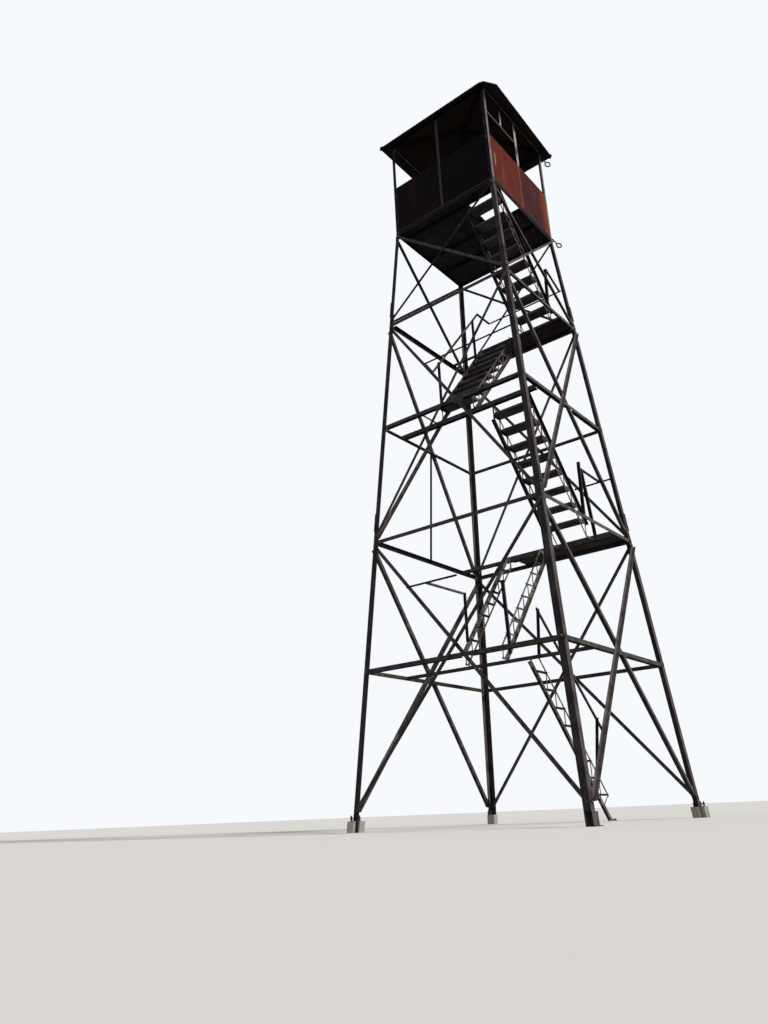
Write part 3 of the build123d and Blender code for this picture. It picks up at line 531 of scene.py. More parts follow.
def panel_group():
    """The cab's sheets by their place: on the +X side red rust to the left of the seam, old maroon
    paint to its right and an orange band at the far end, with orange and pale runs; the other sides
    are painted shade, near black and darkest towards +X."""
    s = Surface("Cab Panel", ["Red", "Maroon", "Orange", "Shade", "Deepest Shade", "Pale", "Green"], [])
    red, maroon, orange = (s.given[label] for label in ("Red", "Maroon", "Orange"))
    x, y, z = s.parts(s.place)
    wave = s.noise(2.2, (1, 1, 0.45), 4.0, 4.2)
    runs = s.noise(9.0, (1, 1, 0.09), 5.0, 6.1)
    cloud = s.noise(3.4, (1, 1, 0.8), 5.0, 1.7)
    fine = s.noise(60.0, (1, 1, 0.6), 5.0, 8.0)
    dull = s.ramp(s.plus(cloud, wave), 1.00, 1.25)
    streak = s.ramp(runs, 0.50, 0.68)
    along = s.scaled(wave, 0.22, s.plus(y, -0.11))
    patchy = s.scaled(s.ramp(cloud, 0.34, 0.60), 0.35, 0.65)
    base = s.mix(s.times(s.band(along, *PAINTED_Y, 0.04), patchy), red, maroon)
    base = s.mix(s.times(dull, 0.45), base, maroon)
    base = s.mix(s.times(s.ramp(along, *ORANGE_Y), s.scaled(streak, 0.4, 0.5)), base, orange)
    low_left = s.times(s.band(y, *STREAKS_Y, 0.10), s.band(z, *STREAKS_Z, 0.16))
    base = s.mix(s.larger(s.times(low_left, streak), s.times(streak, 0.22)), base, orange)
    scratch = s.times(s.band(y, *SCRATCH_Y, 0.012), s.band(z, *SCRATCH_Z, 0.05))
    scratch = s.times(scratch, s.scaled(s.ramp(fine, 0.35, 0.6), 0.5, 0.5))
    base = s.mix(scratch, base, s.given["Pale"])
    foot = s.ramp(z, PANEL_LOW + 0.030, PANEL_LOW + 0.008)
    base = s.mix(s.times(foot, 0.6), base, s.given["Green"])
    # Painted shade: the other sides are near black, with a little maroon and red, and darker still
    # towards +X
    painted_shade_sides = s.mix(s.times(dull, 0.20), s.given["Shade"], maroon)
    painted_shade_sides = s.mix(s.times(streak, 0.06), painted_shade_sides, red)
    painted_shade_sides = s.mix(s.times(s.ramp(x, -0.55, 0.25), 0.75), painted_shade_sides, s.given["Deepest Shade"])
    base = s.mix(s.ramp(x, PANEL_OUT - 0.002, PANEL_OUT - 0.001), painted_shade_sides, base)
    tint = s.grained(base, fine, 0.5)
    return s.puts_out(tint, s.scaled(fine, 0.3, 0.52), s.scaled(streak, 0.6, fine))


def paint_group():
    """Old paint peeling off an upright in long flakes, kept only on the outer +X side: partly real
    paint, partly painted sunlight, as the other sides are left as bare steel.
    """
    s = Surface("Peeling Paint", ["Paint", "Bare"], ["Loss"])
    x = s.parts(s.place)[0]
    flake = s.noise(24.0, (1, 1, 0.12), 5.0, 2.0)
    wide = s.noise(5.0, (1, 1, 0.5), 3.0, 8.0)
    fine = s.noise(120.0, (1, 1, 0.5), 4.0, 5.0)
    lost = s.plus(s.scaled(wide, 0.5, flake), s.given["Loss"])
    # Painted light: paint only on the sunlit outer +X faces
    outside = s.ramp(x, CAB_HALF - 0.023, CAB_HALF - 0.016)
    kept = s.times(s.ramp(lost, 1.30, 1.20), outside)
    base = s.mix(kept, s.given["Bare"], s.given["Paint"])
    tint = s.grained(base, fine, 0.6)
    return s.puts_out(tint, s.scaled(kept, -0.15, 0.75), s.scaled(fine, 0.3, kept))


# Materials

SPECULAR = 0.02
BUMP_STRENGTH = 0.6


def new_material(name):
    """A new material, its nodes, and the inputs of its Principled BSDF."""
    material = bpy.data.materials.new(name)
    material.use_nodes = True
    nodes = Nodes(material.node_tree)
    shader = next(n for n in material.node_tree.nodes if n.type == "BSDF_PRINCIPLED")
    return material, nodes, shader.inputs


def finish(name, group, values, bump):
    """A material whose colour, roughness and bump come from one of the groups."""
    material, nodes, shader = new_material(name)
    surface = nodes.add("ShaderNodeGroup", node_tree=group)
    for label, value in values.items():
        nodes.fill(surface.inputs[label], value)
    relief = {"Strength": BUMP_STRENGTH, "Distance": bump, "Height": surface.outputs["Height"]}
    nodes.fill(shader["Base Color"], surface.outputs["Color"])
    nodes.fill(shader["Roughness"], surface.outputs["Roughness"])
    nodes.fill(shader["Specular IOR Level"], SPECULAR)
    nodes.fill(shader["Normal"], nodes.add("ShaderNodeBump", relief).outputs["Normal"])
    return material


def steel(name, wear, rust, lichen, painted_sunlight_amount=0.8, front=0.0, growth=None, pale=None):
    """Weathered steel with painted light: one amount sets the painted sunlight on the faces towards
    +X and upwards, front sets the painted light on the faces towards -Y; growth and pale stand in for
    the colours of the lichen and of that painted light.
    """
    c = colours()
    group = bpy.data.node_groups.get("Weathered Steel") or steel_group()
    values = {
        "Dark": c.steel_dark,
        "Worn": c.steel_light,
        "Painted Light": pale or c.painted_sunlight,
        "Rust": c.rust,
        "Lichen": growth or c.lichen,
        "Wear": wear,
        "Painted Sunlight Amount": painted_sunlight_amount,
        "Painted Front Light": front,
        "Rust Amount": rust,
        "Lichen Amount": lichen,
    }
    return finish(name, group, values, bump=0.003)


def boards(name, axis, dark, pale, stain, amount):
    """Boards with their grain along X or Y."""
    stretch = tuple(0.05 if axis == letter else 1 for letter in "XYZ")
    label = f"Grain Along {axis}"
    group = bpy.data.node_groups.get(label) or board_group(label, stretch)
    split = (0.012, 0.009, 0.008)
    values = {"Dark": dark, "Pale": pale, "Stain": stain, "Split": split, "Stain Amount": amount}
    return finish(name, group, values, bump=0.004)


def sheet(name, red, maroon, orange, runs, paint):
    """Sheet or stone in three colours, with the amounts of its runs and its old paint."""
    group = bpy.data.node_groups.get("Rusted Sheet") or sheet_group()
    values = {"Red": red, "Maroon": maroon, "Orange": orange, "Runs": runs, "Paint": paint}
    return finish(name, group, values, bump=0.002)


def cab_sheet():
    """The cab's own sheets; its shaded sides are darkest towards +X."""
    c = colours()
    values = {
        "Red": c.panel_red,
        "Maroon": c.panel_maroon,
        "Orange": c.panel_orange,
        "Shade": c.panel_shade,
        "Deepest Shade": (0.0020, 0.0018, 0.0030),
        "Pale": c.paint_pale,
        "Green": c.panel_green,
    }
    return finish("panel_sheet", panel_group(), values, bump=0.002)


def dress(names, material):
    """Gives a finished material to CAD nodes, found by the start of their names."""
    found = [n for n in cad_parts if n.startswith(tuple(names))]
    if not found:
        raise RuntimeError(f"no node of the frame starts with {names}")
    for name in found:
        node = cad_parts[name]
        node.data.materials.clear()
        node.data.materials.append(material)


# Legs


class LOOKOUT_OT_legs(bpy.types.Operator):
    """Weathered steel on the legs and their splices"""

    bl_idname = "lookout.legs"
    bl_label = "Finish Legs"

    def execute(self, context):
        leg = steel("leg_steel", wear=0.32, rust=0.31, lichen=0.09, painted_sunlight_amount=0.78, front=0.28)
        dress(["legs_", "leg_splices"], leg)
        return {"FINISHED"}


# Bracing


def brace_bar(face, tier, inner):
    """An angle bar between two legs of a face, its outline carried from foot to head. Outer
    bars rise along the face and stand outwards from their lower edge; inner bars fall along it
    and stand inwards from their lower edge, as every face of the tower repeats the same pair."""
    low, high, inset, width, depth = tier
    out, along = face
    hand = -1.0 if inner else 1.0
    start = out * half_at(low) - along * hand * (half_at(low) - inset) + UP * low
    end = out * half_at(high) + along * hand * (half_at(high) - inset) + UP * high
    run = (end - start) / np.linalg.norm(end - start)
    h, t = width / 2, BRACE_THICK
    outline = np.array([(h, 0.0), (-h, 0.0), (-h, width), (t - h, width), (t - h, t), (h, t)])
    if inner:
        outline = -outline - (0.0, depth)
    return carried(outline, [start, end], np.cross(lean(out), run), lean(out))


def girt_bar(number, z):
    """An angle bar level between two legs of a face: two thin outlines carried along it, one
    flat against the inside of the legs, one pointing inwards from its upper edge. The girts of
    the side faces end short of those of the front and back."""
    out, along = FACES[number]
    h, t, d = GIRT_WIDTH / 2, GIRT_THICK, LEG_THICK
    gap = GIRT_GAP if number % 2 == 0 else GIRT_GAP_SIDES
    upright = [(-h, -d), (h, -d), (h, -d - t), (-h, -d - t)]
    level = [(h - t, -d - t / 2), (h, -d - t / 2), (h, -d - 2 * h), (h - t, -d - 2 * h)]
    bars = []
    for outline, cut in ((upright, gap), (level, gap + GIRT_COPE)):
        reach = half_at(z) - d - cut
        ends = [out * half_at(z) + along * hand * reach + UP * z for hand in HANDS]
        bars.append(carried(outline, ends, np.cross(lean(out), along), lean(out)))
    return bars


def wall_rod():
    """The upright rod of the left wall: a round bar from the girt of level 2 upwards."""
    low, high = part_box("sway_rod")
    half = (high.y - low.y) / 2
    slant = (high.x - low.x - 2 * half) / (high.z - low.z)
    foot_z = GIRT_Z[1] + GIRT_WIDTH / 2 - 0.001
    ends = [(low.x + half + slant * (z - low.z), low.y + half, z) for z in (foot_z, high.z)]
    return wire_bar(ends, fixings().rod_radius)


class LOOKOUT_OT_bracing(bpy.types.Operator):
    """Weathered steel on the girts and braces, with moss on the lowest girts"""

    bl_idname = "lookout.bracing"
    bl_label = "Finish Bracing"

    def execute(self, context):
        worn = steel("brace_steel", wear=0.40, rust=0.24, lichen=0.15, painted_sunlight_amount=0.95, front=0.55)
        dress(["braces_", "brace_packs"], worn)
        for place in ("outer", "inner"):
            bars = [
                brace_bar(face, tier, place == "inner") for face in FACES for tier in BRACE_TIERS
            ]
            piece = new_piece(f"crossed_bars_{place}", joined(bars), worn)
            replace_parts(piece, *(f"braces_{tier}_{place}" for tier in ("lower", "middle", "upper")))
        dark = steel("rod_steel", wear=0.05, rust=0.20, lichen=0.0, painted_sunlight_amount=0.0)
        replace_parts(new_piece("wall_rod", wall_rod(), dark), "sway_rod")
        plain = steel("girt_steel", wear=0.34, rust=0.22, lichen=0.12, front=0.55)
        dress(["girts_level_", "landing_beams"], plain)
        bars = [bar for k in (1, 3) for number in range(4) for bar in girt_bar(number, GIRT_Z[k])]
        piece = new_piece("upper_edge_girts", joined(bars), plain)
        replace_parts(piece, "girts_level_2", "girts_level_4")
        moss = colours().moss
        mossy = steel(
            "mossy_steel", wear=0.36, rust=0.16, lichen=0.25, painted_sunlight_amount=0.6, front=0.4, growth=moss
        )
        dress(["girts_level_1"], mossy)
        return {"FINISHED"}


# Stairs

TREADS = ["flight_3_treads", "flight_4_treads", "flight_5_treads"]


class LOOKOUT_OT_stairs(bpy.types.Operator):
    """Weathered steel on the stair frames and rails, and grey grain on the treads and landings"""

    bl_idname = "lookout.stairs"
    bl_label = "Finish Stairs"

    def execute(self, context):
        f, c = fixings(), colours()
        plain = steel("stair_steel", wear=0.34, rust=0.22, lichen=0.14)
        dress(["flight_", "guard_rails"], plain)
        rails = thickened("stair_rails", f.rail_width)
        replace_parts(new_piece("handrail_bars", rails, plain), "stair_rails")
        posts = thickened("stair_posts", f.post_width)
        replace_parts(new_piece("handrail_posts", posts, plain), "stair_posts")
        grown = steel("lichen_steel", wear=0.46, rust=0.24, lichen=0.27, painted_sunlight_amount=0.9)
        dress(["flight_1_side", "flight_2_sides"], grown)
        brown = (0.075, 0.040, 0.028)
        wood = boards("stair_boards", "X", c.wood_dark, c.wood_light, brown, 0.30)
        dress([*TREADS, "landing_2_boards"], wood)
        # Painted shade: landing 4 gets a darker copy of the board finish
        dark, pale, brown = (0.020, 0.019, 0.022), (0.085, 0.078, 0.080), (0.040, 0.024, 0.020)
        dress(["landing_4_boards"], boards("shaded_landing_boards", "X", dark, pale, brown, 0.35))
        return {"FINISHED"}


def board_spots(names, inset, count, shares):
    """Places on the tops of boards: count of them along X, the first and last inset from the
    board's ends, at each share of its width."""
    return [
        (x, low[1] + share * (high[1] - low[1]), high[2])
        for name in names
        for low, high in solid_boxes(name)
        for x in np.linspace(low[0] + inset, high[0] - inset, count)
        for share in shares
    ]


class LOOKOUT_OT_treads(bpy.types.Operator):
    """Round bolt heads on the treads and nails in the landing boards"""

    bl_idname = "lookout.treads"
    bl_label = "Tread Bolts"

    def execute(self, context):
        dome = turned([(0.012, 0.0), (0.011, 0.003), (0.007, 0.0055), (0.003, 0.0065)], 8)
        nail = turned([(0.006, 0.0), (0.005, 0.002), (0.002, 0.0025)], 6)
        bolts = board_spots(TREADS, 0.030, 2, (0.25, 0.75))
        nails = board_spots(["landing_2_boards", "landing_4_boards"], 0.05, 7, (0.2, 0.8))
        heads = joined([scatter(dome, bolts, UP), scatter(nail, nails, UP)])
        worn = steel("tread_bolt_steel", wear=0.50, rust=0.36, lichen=0.12)
        new_piece("tread_bolts", heads, worn)
        return {"FINISHED"}


# Cab

# Ragged slats on the right side's uprights: foot and head as (y, z), and half the width
SLATS = [((-0.567, 12.521), (-0.532, 12.885), 0.027), ((0.0, 11.975), (0.0, 12.900), 0.038)]
SLAT_HALF = 0.003
SLAT_PROUD = 0.0032


def window_slat(foot, head, half):
    """A thin slat just off the right side: its outline carried from foot to head, with the
    width half (1 + 0.07 sin 21 r + 0.05 sin(53 r + 1)) at the share r of the way."""
    outline = [(-1, -SLAT_HALF), (1, -SLAT_HALF), (1, SLAT_HALF), (-1, SLAT_HALF)]
    r = np.linspace(0.0, 1.0, 25)[:, None]
    line = np.array(foot) * (1 - r) + np.array(head) * r
    path = np.hstack([np.full_like(r, CAB_HALF + SLAT_PROUD), line])
    width = half * (1.0 + 0.07 * np.sin(r * 21.0) + 0.05 * np.sin(r * 53.0 + 1.0))
    return carried(outline, path, width * np.array([[0.0, 1.0, 0.0]]), (1, 0, 0))


class LOOKOUT_OT_cab(bpy.types.Operator):
    """Dark steel, boards, old window uprights and rusted sheets of the cab"""

    bl_idname = "lookout.cab"
    bl_label = "Finish Cab"

    def execute(self, context):
        c = colours()
        dress(["cab_"], steel("cab_steel", wear=0.26, rust=0.24, lichen=0.10, painted_sunlight_amount=0.75))
        # Painted sunlight in full on the posts and top plates, in a paler colour of their own
        post = steel(
            "post_steel", wear=0.32, rust=0.22, lichen=0.12, painted_sunlight_amount=1.0, pale=c.post_pale
        )
        dress(["cab_posts", "cab_top_plates"], post)
        dark, pale, brown = (0.024, 0.021, 0.024), (0.064, 0.057, 0.062), (0.034, 0.027, 0.027)
        dress(["cab_floor"], boards("floor_boards", "Y", dark, pale, brown, 0.35))
        # Painted shade: a darker copy of the steel, with less wear and almost none of the painted
        # sunlight, for the frame and joists under the cab
        under = steel("floor_steel", wear=0.16, rust=0.20, lichen=0.02, painted_sunlight_amount=0.05)
        dress(["cab_floor_frame", "cab_floor_joists"], under)
        dress(["sash_bar"], steel("sash_steel", wear=0.62, rust=0.20, lichen=0.16, painted_sunlight_amount=1.0))
        dress(["cab_panels"], cab_sheet())
        paint = {"Paint": c.paint_pale, "Bare": c.steel_light, "Loss": 0.40}
        uprights = finish("window_uprights", paint_group(), paint, bump=0.002)
        dress(["cab_mullions"], uprights)
        slats = joined([window_slat(*slat) for slat in SLATS])
        new_piece("window_slats", slats, uprights)
        return {"FINISHED"}


# The seams and rivets of the cab's sheets
SEAM_ALONG = 0.012
SEAM_PROUD = 0.0016
RIVET_INSET = 0.030
SILL_RIVETS = np.linspace(-0.96, 0.96, 14)
SILL_DROP = 0.016
SEAM_OUTLINE = [(-0.022, 0.0), (0.022, 0.0), (0.021, 0.0012), (0.0, 0.0018), (-0.021, 0.0012)]
RIVET_HEIGHTS = np.linspace(PANEL_LOW + 0.06, PANEL_TOP - 0.06, 9)


def seam_strip(out, side):
    """A strip over the seam of a side's two sheets, its outline carried upwards."""
    foot = out * PANEL_OUT + side * SEAM_ALONG
    ends = [foot + UP * z for z in (PANEL_LOW + 0.002, PANEL_TOP - 0.062)]
    return carried(SEAM_OUTLINE, ends, side, out)


def rivet_rows():
    """Places of the rivets and the ways they face: up the seams and the posts, and along the
    sheets' upper edge."""
    rows = []
    for out, side in FACES[1::2]:
        seam = out * (PANEL_OUT + SEAM_PROUD) + side * SEAM_ALONG
        rows += [(seam + UP * z, out) for z in RIVET_HEIGHTS[:-1]]
    for out, side in FACES:
        for hand in HANDS:
            post = out * CAB_HALF + side * hand * (CAB_HALF - RIVET_INSET)
            rows += [(post + UP * z, out) for z in RIVET_HEIGHTS]
        sill = out * PANEL_OUT + UP * (PANEL_TOP - SILL_DROP)
        rows += [(sill + side * y, out) for y in SILL_RIVETS]
    return zip(*rows)


class LOOKOUT_OT_panel_trim(bpy.types.Operator):
    """Seam strips in the middle of the side sheets, and rivets along the seams, posts and sills"""

    bl_idname = "lookout.panel_trim"
    bl_label = "Panel Seams"

    def execute(self, context):
        red, orange = (0.20, 0.075, 0.055), (0.30, 0.16, 0.11)
        seam = sheet("seam_sheet", red, colours().panel_maroon, orange, runs=0.42, paint=0.22)
        strips = joined([seam_strip(*face) for face in FACES[1::2]])
        new_piece("cab_seam_strips", strips, seam)
        radius = fixings().rivet_radius
        rivet = turned([(radius, 0.0), (radius * 0.85, 0.003), (radius * 0.4, 0.005)], 8)
        rusty = steel("rivet_steel", wear=0.40, rust=0.40, lichen=0.10)
        new_piece("cab_rivets", scatter(rivet, *rivet_rows()), rusty)
        return {"FINISHED"}


# Roof

# How far the hip caps, the laps and the lips lie inside the eaves, where they stop, how high
# they lie over the sheets or how deep under them, and where the laps are along a face
HIP_INSET = 0.004
CLIP_INSET = 0.003
HIP_TOP = 0.07
HIP_RISE = 0.0015
LAP_INSET = 0.035
LAP_GAP = 0.06
LAP_SINK = 0.0005
LAP_OFFSETS = (-0.80, -0.27, 0.27, 0.80)
LAP_HALF = [(0.020, 0.0), (0.018, 0.002), (0.008, 0.0035), (0.004, 0.009)]
LAP_OUTLINE = LAP_HALF + [(-a, b) for a, b in reversed(LAP_HALF)]
LIP_SHARE = 0.9975
LIP_SINK = 0.001


def hip_cap(sx, sy):
    """A folded cap over a hip, its outline carried from the eave up to the peak, and the
    places of the nails along its two wings."""
    f = fixings()
    w, t = f.hip_width, f.trim_thick
    eave = CLIP - CLIP_INSET if (sx, sy) == (1, -1) else EAVE_HALF - HIP_INSET
    reach = np.linspace(eave, HIP_TOP, 13)
    path = np.stack([sx * reach, sy * reach, roof_z(reach) + HIP_RISE], -1)
    side = np.array([-sy, sx, 0.0]) / math.sqrt(2.0)
    fall = w / math.sqrt(2.0) * ROOF_SLOPE
    outline = [(-w, -fall), (0, 0), (w, -fall), (w, -fall + t), (0, t), (-w, -fall + t)]
    nails = [path[1::2] + side * hand * w * 0.7 + UP * (t - fall * 0.7) for hand in HANDS]
    return carried(outline, path, side, UP), nails


def eave_lip(face, corners):
    """The folded lip of an eave, its outline carried from corner to corner under the sheet."""
    f = fixings()
    corners = np.array(corners) * LIP_SHARE
    reach = np.abs(corners @ face[0][:2])
    path = np.column_stack([corners, roof_z(reach) - LIP_SINK])
    run = np.gradient(corners, axis=0)
    out = np.column_stack([run[:, 1], -run[:, 0], np.zeros(len(run))])
    out = out / np.linalg.norm(out, axis=1, keepdims=True)
    t, drop = f.trim_thick, f.lip_drop
    return carried([(-t, -drop), (0, -drop), (0, 0.0), (-t, 0.0)], path, out, UP)


def roof_lap(out, along, offset):
    """The folded lap of two sheets, its outline carried up the slope to the hip."""
    reach = np.linspace(EAVE_HALF - LAP_INSET, abs(offset) + LAP_GAP, 9)[:, None]
    path = out * reach + along * offset + UP * (roof_z(reach) - LAP_SINK)
    return carried(LAP_OUTLINE, path, along, UP)


class LOOKOUT_OT_roof(bpy.types.Operator):
    """Dark sheets of the roof, with folded caps over the hips and a lip along the eaves"""

    bl_idname = "lookout.roof"
    bl_label = "Finish Roof"

    def execute(self, context):
        brown, orange = (0.048, 0.030, 0.024), (0.085, 0.042, 0.026)
        dark = sheet("roof_sheet", colours().roof_black, brown, orange, runs=0.36, paint=0.36)
        dress(["roof_"], dark)
        caps, nails = zip(*(hip_cap(*corner) for corner in CORNERS))
        lips = [eave_lip(face, corners) for face, corners in zip(FACES, EAVES)]
        laps = [roof_lap(*face, offset) for face in FACES for offset in LAP_OFFSETS]
        for name, shapes in (("hip_caps", caps), ("eave_lips", lips), ("laps", laps)):
            new_piece(f"roof_{name}", joined(shapes), dark)
        nail = turned([(0.007, -0.001), (0.006, 0.002), (0.002, 0.003)], 6)
        heads = scatter(nail, np.concatenate([row for pair in nails for row in pair]), UP)
        rusty = steel("nail_steel", wear=0.45, rust=0.40, lichen=0.10)
        new_piece("roof_nails", heads, rusty)
        return {"FINISHED"}


# Eye rings

# Each ring: its radius, its centre and the points of its rod, as (distance from the centre
# line along both X and Y, height)
RINGS = [
    (0.048, (1.201, 10.720), [(1.090, 10.888), (1.120, 10.862), (1.150, 10.806), (1.172, 10.762)]),
    (0.056, (1.202, 12.797), [(1.100, 12.905), (1.130, 12.900), (1.160, 12.880), (1.172, 12.850)]),
]


class LOOKOUT_OT_rings(bpy.types.Operator):
    """Eye rings on bent rods at the back right corner, under the eave and at the floor"""

    bl_idname = "lookout.rings"
    bl_label = "Eye Rings"

    def execute(self, context):
        wire = fixings().ring_wire
        across = np.array([1.0, 1.0, 0.0]) / math.sqrt(2.0)
        shapes = []
        for radius, (reach, z), rod in RINGS:
            shapes.append(wire_ring(np.array([reach, reach, z]), across, UP, radius, wire))
            shapes.append(wire_bar([(reach, reach, z) for reach, z in rod], wire))
        dark = steel("ring_steel", wear=0.15, rust=0.30, lichen=0.02, painted_sunlight_amount=0.35)
        new_piece("eye_rings", joined(shapes), dark)
        return {"FINISHED"}


# Feet

NUT_DROP = 0.045


class LOOKOUT_OT_feet(bpy.types.Operator):
    """Pale weathered blocks at three feet, a dark shoe at the fourth, and nutted anchor rods"""

    bl_idname = "lookout.feet"
    bl_label = "Finish Feet"

    def execute(self, context):
        grey, brown = (0.22, 0.20, 0.17), (0.14, 0.11, 0.08)
        stone = sheet("foot_block_stone", colours().block_pale, grey, brown, runs=0.34, paint=0.36)
        dress(["foot_blocks"], stone)
        fitting = steel("fitting_steel", wear=0.30, rust=0.40, lichen=0.10)
        dress(["anchor_rods", "foot_shoe"], fitting)
        nut = turned([(0.021, 0.0), (0.0225, 0.002), (0.0225, 0.015), (0.020, 0.018)], 6)
        boxes = solid_boxes("anchor_rods")
        spots = [(*(low + high)[:2] / 2, high[2] - NUT_DROP) for low, high in boxes]
        new_piece("anchor_nuts", scatter(nut, spots, UP), fitting)
        return {"FINISHED"}


# Bolts

# How far the bolts lie inside the corners, how they step up, and how many a splice has
GIRT_BOLT_INSET = 0.035
GIRT_BOLT_RISES = (-0.014, 0.018)
SPLICE_BOLT_INSET = 0.030
SPLICE_BOLT_PITCH = 0.053
SPLICE_BOLTS = 6
BRACE_BOLT_STEP = 0.021


def bolt_spots():
    """Each bolt's place and the way it faces: out half_at(z) + side along + up z + normal
    proud, for the girts, the splices, the braces' ends and their crossings."""
    spots = []

    def add(face, along, z, proud):
        out, side = face
        spots.append((out * half_at(z) + side * along + UP * z + lean(out) * proud, lean(out)))

    for face in FACES:
        for hand in HANDS:
            for z in GIRT_Z:
                for rise in GIRT_BOLT_RISES:
                    add(face, hand * (half_at(z) - GIRT_BOLT_INSET), z + rise, 0.0)
            for low in SPLICES:
                for z in low - 0.005 + SPLICE_BOLT_PITCH * np.arange(SPLICE_BOLTS):
                    add(face, hand * (half_at(z) - SPLICE_BOLT_INSET), z, LEG_THICK)
        for low, high, inset, _, _ in BRACE_TIERS:
            foot, top = half_at(low) - inset, half_at(high) - inset
            run = np.array([foot + top, high - low])
            run = run / np.linalg.norm(run) * BRACE_BOLT_STEP
            for hand, proud in ((1, BRACE_THICK), (-1, 0.0)):
                for along, rise in (run, -run):
                    add(face, hand * (along - foot), low + rise, proud)
                    add(face, hand * (along + top), high + rise, proud)
            add(face, 0.0, low + (high - low) * foot / (foot + top), BRACE_THICK)
    return zip(*spots)


class LOOKOUT_OT_bolts(bpy.types.Operator):
    """Bolt heads through the legs at every girt, brace end, brace crossing and splice"""

    bl_idname = "lookout.bolts"
    bl_label = "Bolts"

    def execute(self, context):
        f = fixings()
        washer, radius, height = f.washer_radius, f.bolt_radius, f.bolt_height
        head = [(washer, 0.0), (washer, 0.003), (radius, 0.003), (radius, height)]
        bolt = turned([*head, (radius * 0.8, height + 0.002)], 6)
        worn = steel("bolt_steel", wear=0.50, rust=0.30, lichen=0.24)
        new_piece("leg_bolts", scatter(bolt, *bolt_spots()), worn)
        return {"FINISHED"}


# Stage

FLOOR_REACH = 220.0
FLOOR_BOUNCE = (0.21, 0.20, 0.19)
DAYLIGHT, DAYLIGHT_STRENGTH = (0.93, 0.95, 1.0), 0.30
BACKDROP = (0.93, 0.95, 0.98)
# Each lamp: its name, strength, spread in degrees, colour and the way towards it
LAMPS = [
    ("key", 2.9, 9.0, (1.0, 0.96, 0.90), (0.80, 0.12, 0.62)),
    ("fill", 0.55, 50.0, (0.92, 0.95, 1.0), (-0.25, -0.90, 0.10)),
]
# The camera: its place, its turn about Z, its tilt upwards and its roll in degrees, and its
# focal length in pixels of a picture 1024 pixels high
EYE = (6.45768, -11.34094, 0.21665)
TURN, TILT, ROLL = 38.59103, 20.80052, -2.38422
FOCAL_PIXELS, PICTURE_HEIGHT = 798.95, 1024.0
SENSOR = 36.0


def linked(name, data):
    """A new object with its data, in the scene."""
    item = bpy.data.objects.new(name, data)
    bpy.context.scene.collection.objects.link(item)
    return item


def stage_floor():
    """A pale floor, darker to the light that it throws back than to the camera."""
    ground = bpy.data.meshes.new("stage_floor")
    corners = [(x * FLOOR_REACH, y * FLOOR_REACH, 0) for x, y in CORNERS]
    ground.from_pydata(corners, [], [(0, 1, 2, 3)])
    linked("stage_floor", ground)
    material, nodes, shader = new_material("stage_floor")
    camera_ray = nodes.add("ShaderNodeLightPath").outputs["Is Camera Ray"]
    nodes.fill(shader["Base Color"], nodes.mix(camera_ray, FLOOR_BOUNCE, tuple(colours().floor)))
    nodes.fill(shader["Roughness"], 0.9)
    nodes.fill(shader["Specular IOR Level"], 0.1)
    ground.materials.append(material)


def daylight():
    """Soft light all round; the camera and clear reflections see a brighter backdrop."""
    world = bpy.data.worlds.new("studio")
    bpy.context.scene.world = world
    world.use_nodes = True
    world.node_tree.nodes.clear()
    nodes = Nodes(world.node_tree)
    light = {"Color": DAYLIGHT, "Strength": DAYLIGHT_STRENGTH}
    plain = nodes.add("ShaderNodeBackground", light).outputs[0]
    bright = nodes.add("ShaderNodeBackground", {"Color": BACKDROP, "Strength": 1.0}).outputs[0]
    rays = nodes.add("ShaderNodeLightPath").outputs
    shown = nodes.larger(*(rays[f"Is {kind} Ray"] for kind in ("Camera", "Glossy", "Transmission")))
    mixed = nodes.add("ShaderNodeMixShader", {0: shown, 1: plain, 2: bright}).outputs[0]
    nodes.add("ShaderNodeOutputWorld", {"Surface": mixed})


def sun(name, strength, spread, tint, towards):
    """A sun that stands in the given way from the tower."""
    light = bpy.data.lights.new(name, "SUN")
    light.energy = strength
    light.angle = math.radians(spread)
    light.color = tint
    lamp = linked(name, light)
    lamp.rotation_euler = Vector(towards).to_track_quat("Z", "Y").to_euler()


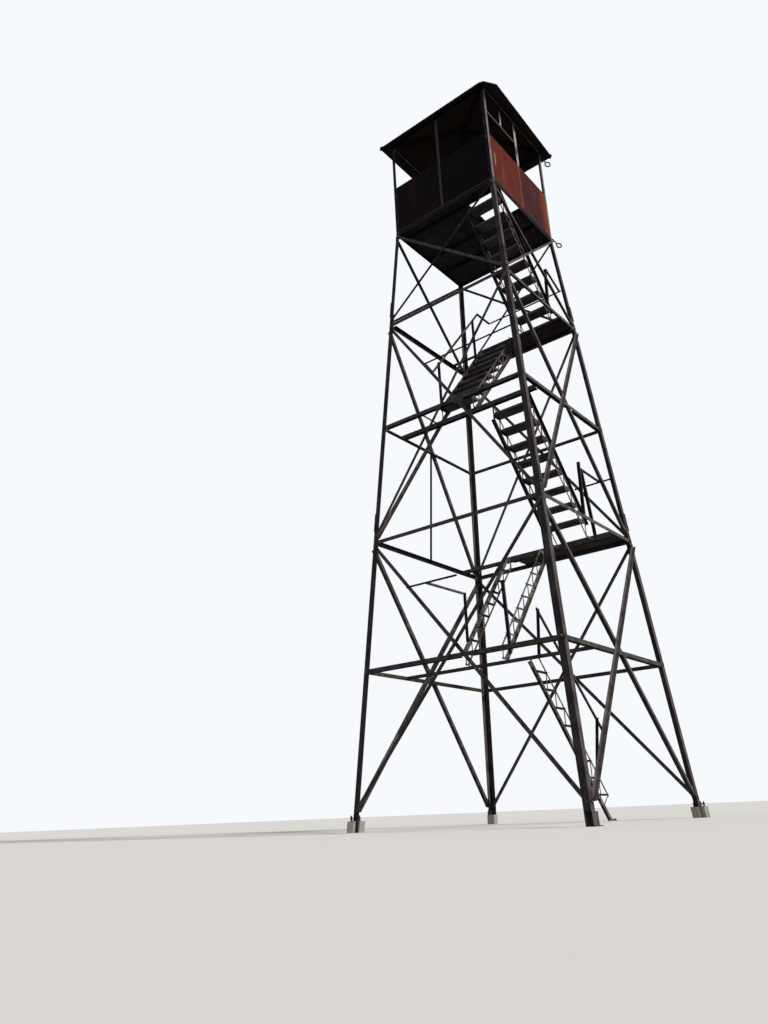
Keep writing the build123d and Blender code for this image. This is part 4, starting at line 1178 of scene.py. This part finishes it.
def camera():
    """The camera: turned about Z, tilted up from the level and rolled about its own axis."""
    eye = bpy.data.cameras.new("eye")
    eye.sensor_width = SENSOR
    eye.lens = FOCAL_PIXELS * SENSOR / PICTURE_HEIGHT
    eye.clip_end = 1000.0
    view = linked("eye", eye)
    pose = Matrix.Translation(EYE)
    for degrees, axis in ((TURN, "Z"), (90.0 + TILT, "X"), (ROLL, "Z")):
        pose = pose @ Matrix.Rotation(math.radians(degrees), 4, axis)
    view.matrix_world = pose
    bpy.context.scene.camera = view


class LOOKOUT_OT_stage(bpy.types.Operator):
    """Pale floor, soft daylight and the camera at the photograph's place"""

    bl_idname = "lookout.stage"
    bl_label = "Stage"

    def execute(self, context):
        context.scene.view_settings.view_transform = "Standard"
        stage_floor()
        daylight()
        for lamp in LAMPS:
            sun(*lamp)
        camera()
        return {"FINISHED"}


STEPS = [
    LOOKOUT_OT_legs,
    LOOKOUT_OT_bracing,
    LOOKOUT_OT_stairs,
    LOOKOUT_OT_treads,
    LOOKOUT_OT_cab,
    LOOKOUT_OT_panel_trim,
    LOOKOUT_OT_roof,
    LOOKOUT_OT_rings,
    LOOKOUT_OT_feet,
    LOOKOUT_OT_bolts,
    LOOKOUT_OT_stage,
]


class LOOKOUT_PT_steps(bpy.types.Panel):
    """The steps that dress the tower, in order"""

    bl_label = "Fire Lookout Tower"
    bl_space_type = "VIEW_3D"
    bl_region_type = "UI"
    bl_category = "Lookout"

    def draw(self, context):
        for step in STEPS:
            self.layout.operator(step.bl_idname)
        for group in (context.scene.lookout_fixings, context.scene.lookout_colours):
            column = self.layout.column()
            for name in group.__annotations__:
                column.prop(group, name)


CLASSES = [LookoutFixings, LookoutColours, *STEPS, LOOKOUT_PT_steps]


def register():
    for item in CLASSES:
        bpy.utils.register_class(item)
    bpy.types.Scene.lookout_fixings = bpy.props.PointerProperty(type=LookoutFixings)
    bpy.types.Scene.lookout_colours = bpy.props.PointerProperty(type=LookoutColours)


def unregister():
    del bpy.types.Scene.lookout_colours
    del bpy.types.Scene.lookout_fixings
    for item in reversed(CLASSES):
        bpy.utils.unregister_class(item)


def main():
    register()
    for step in STEPS:
        family, name = step.bl_idname.split(".")
        getattr(getattr(bpy.ops, family), name)()


if __name__ == "__main__":
    main()
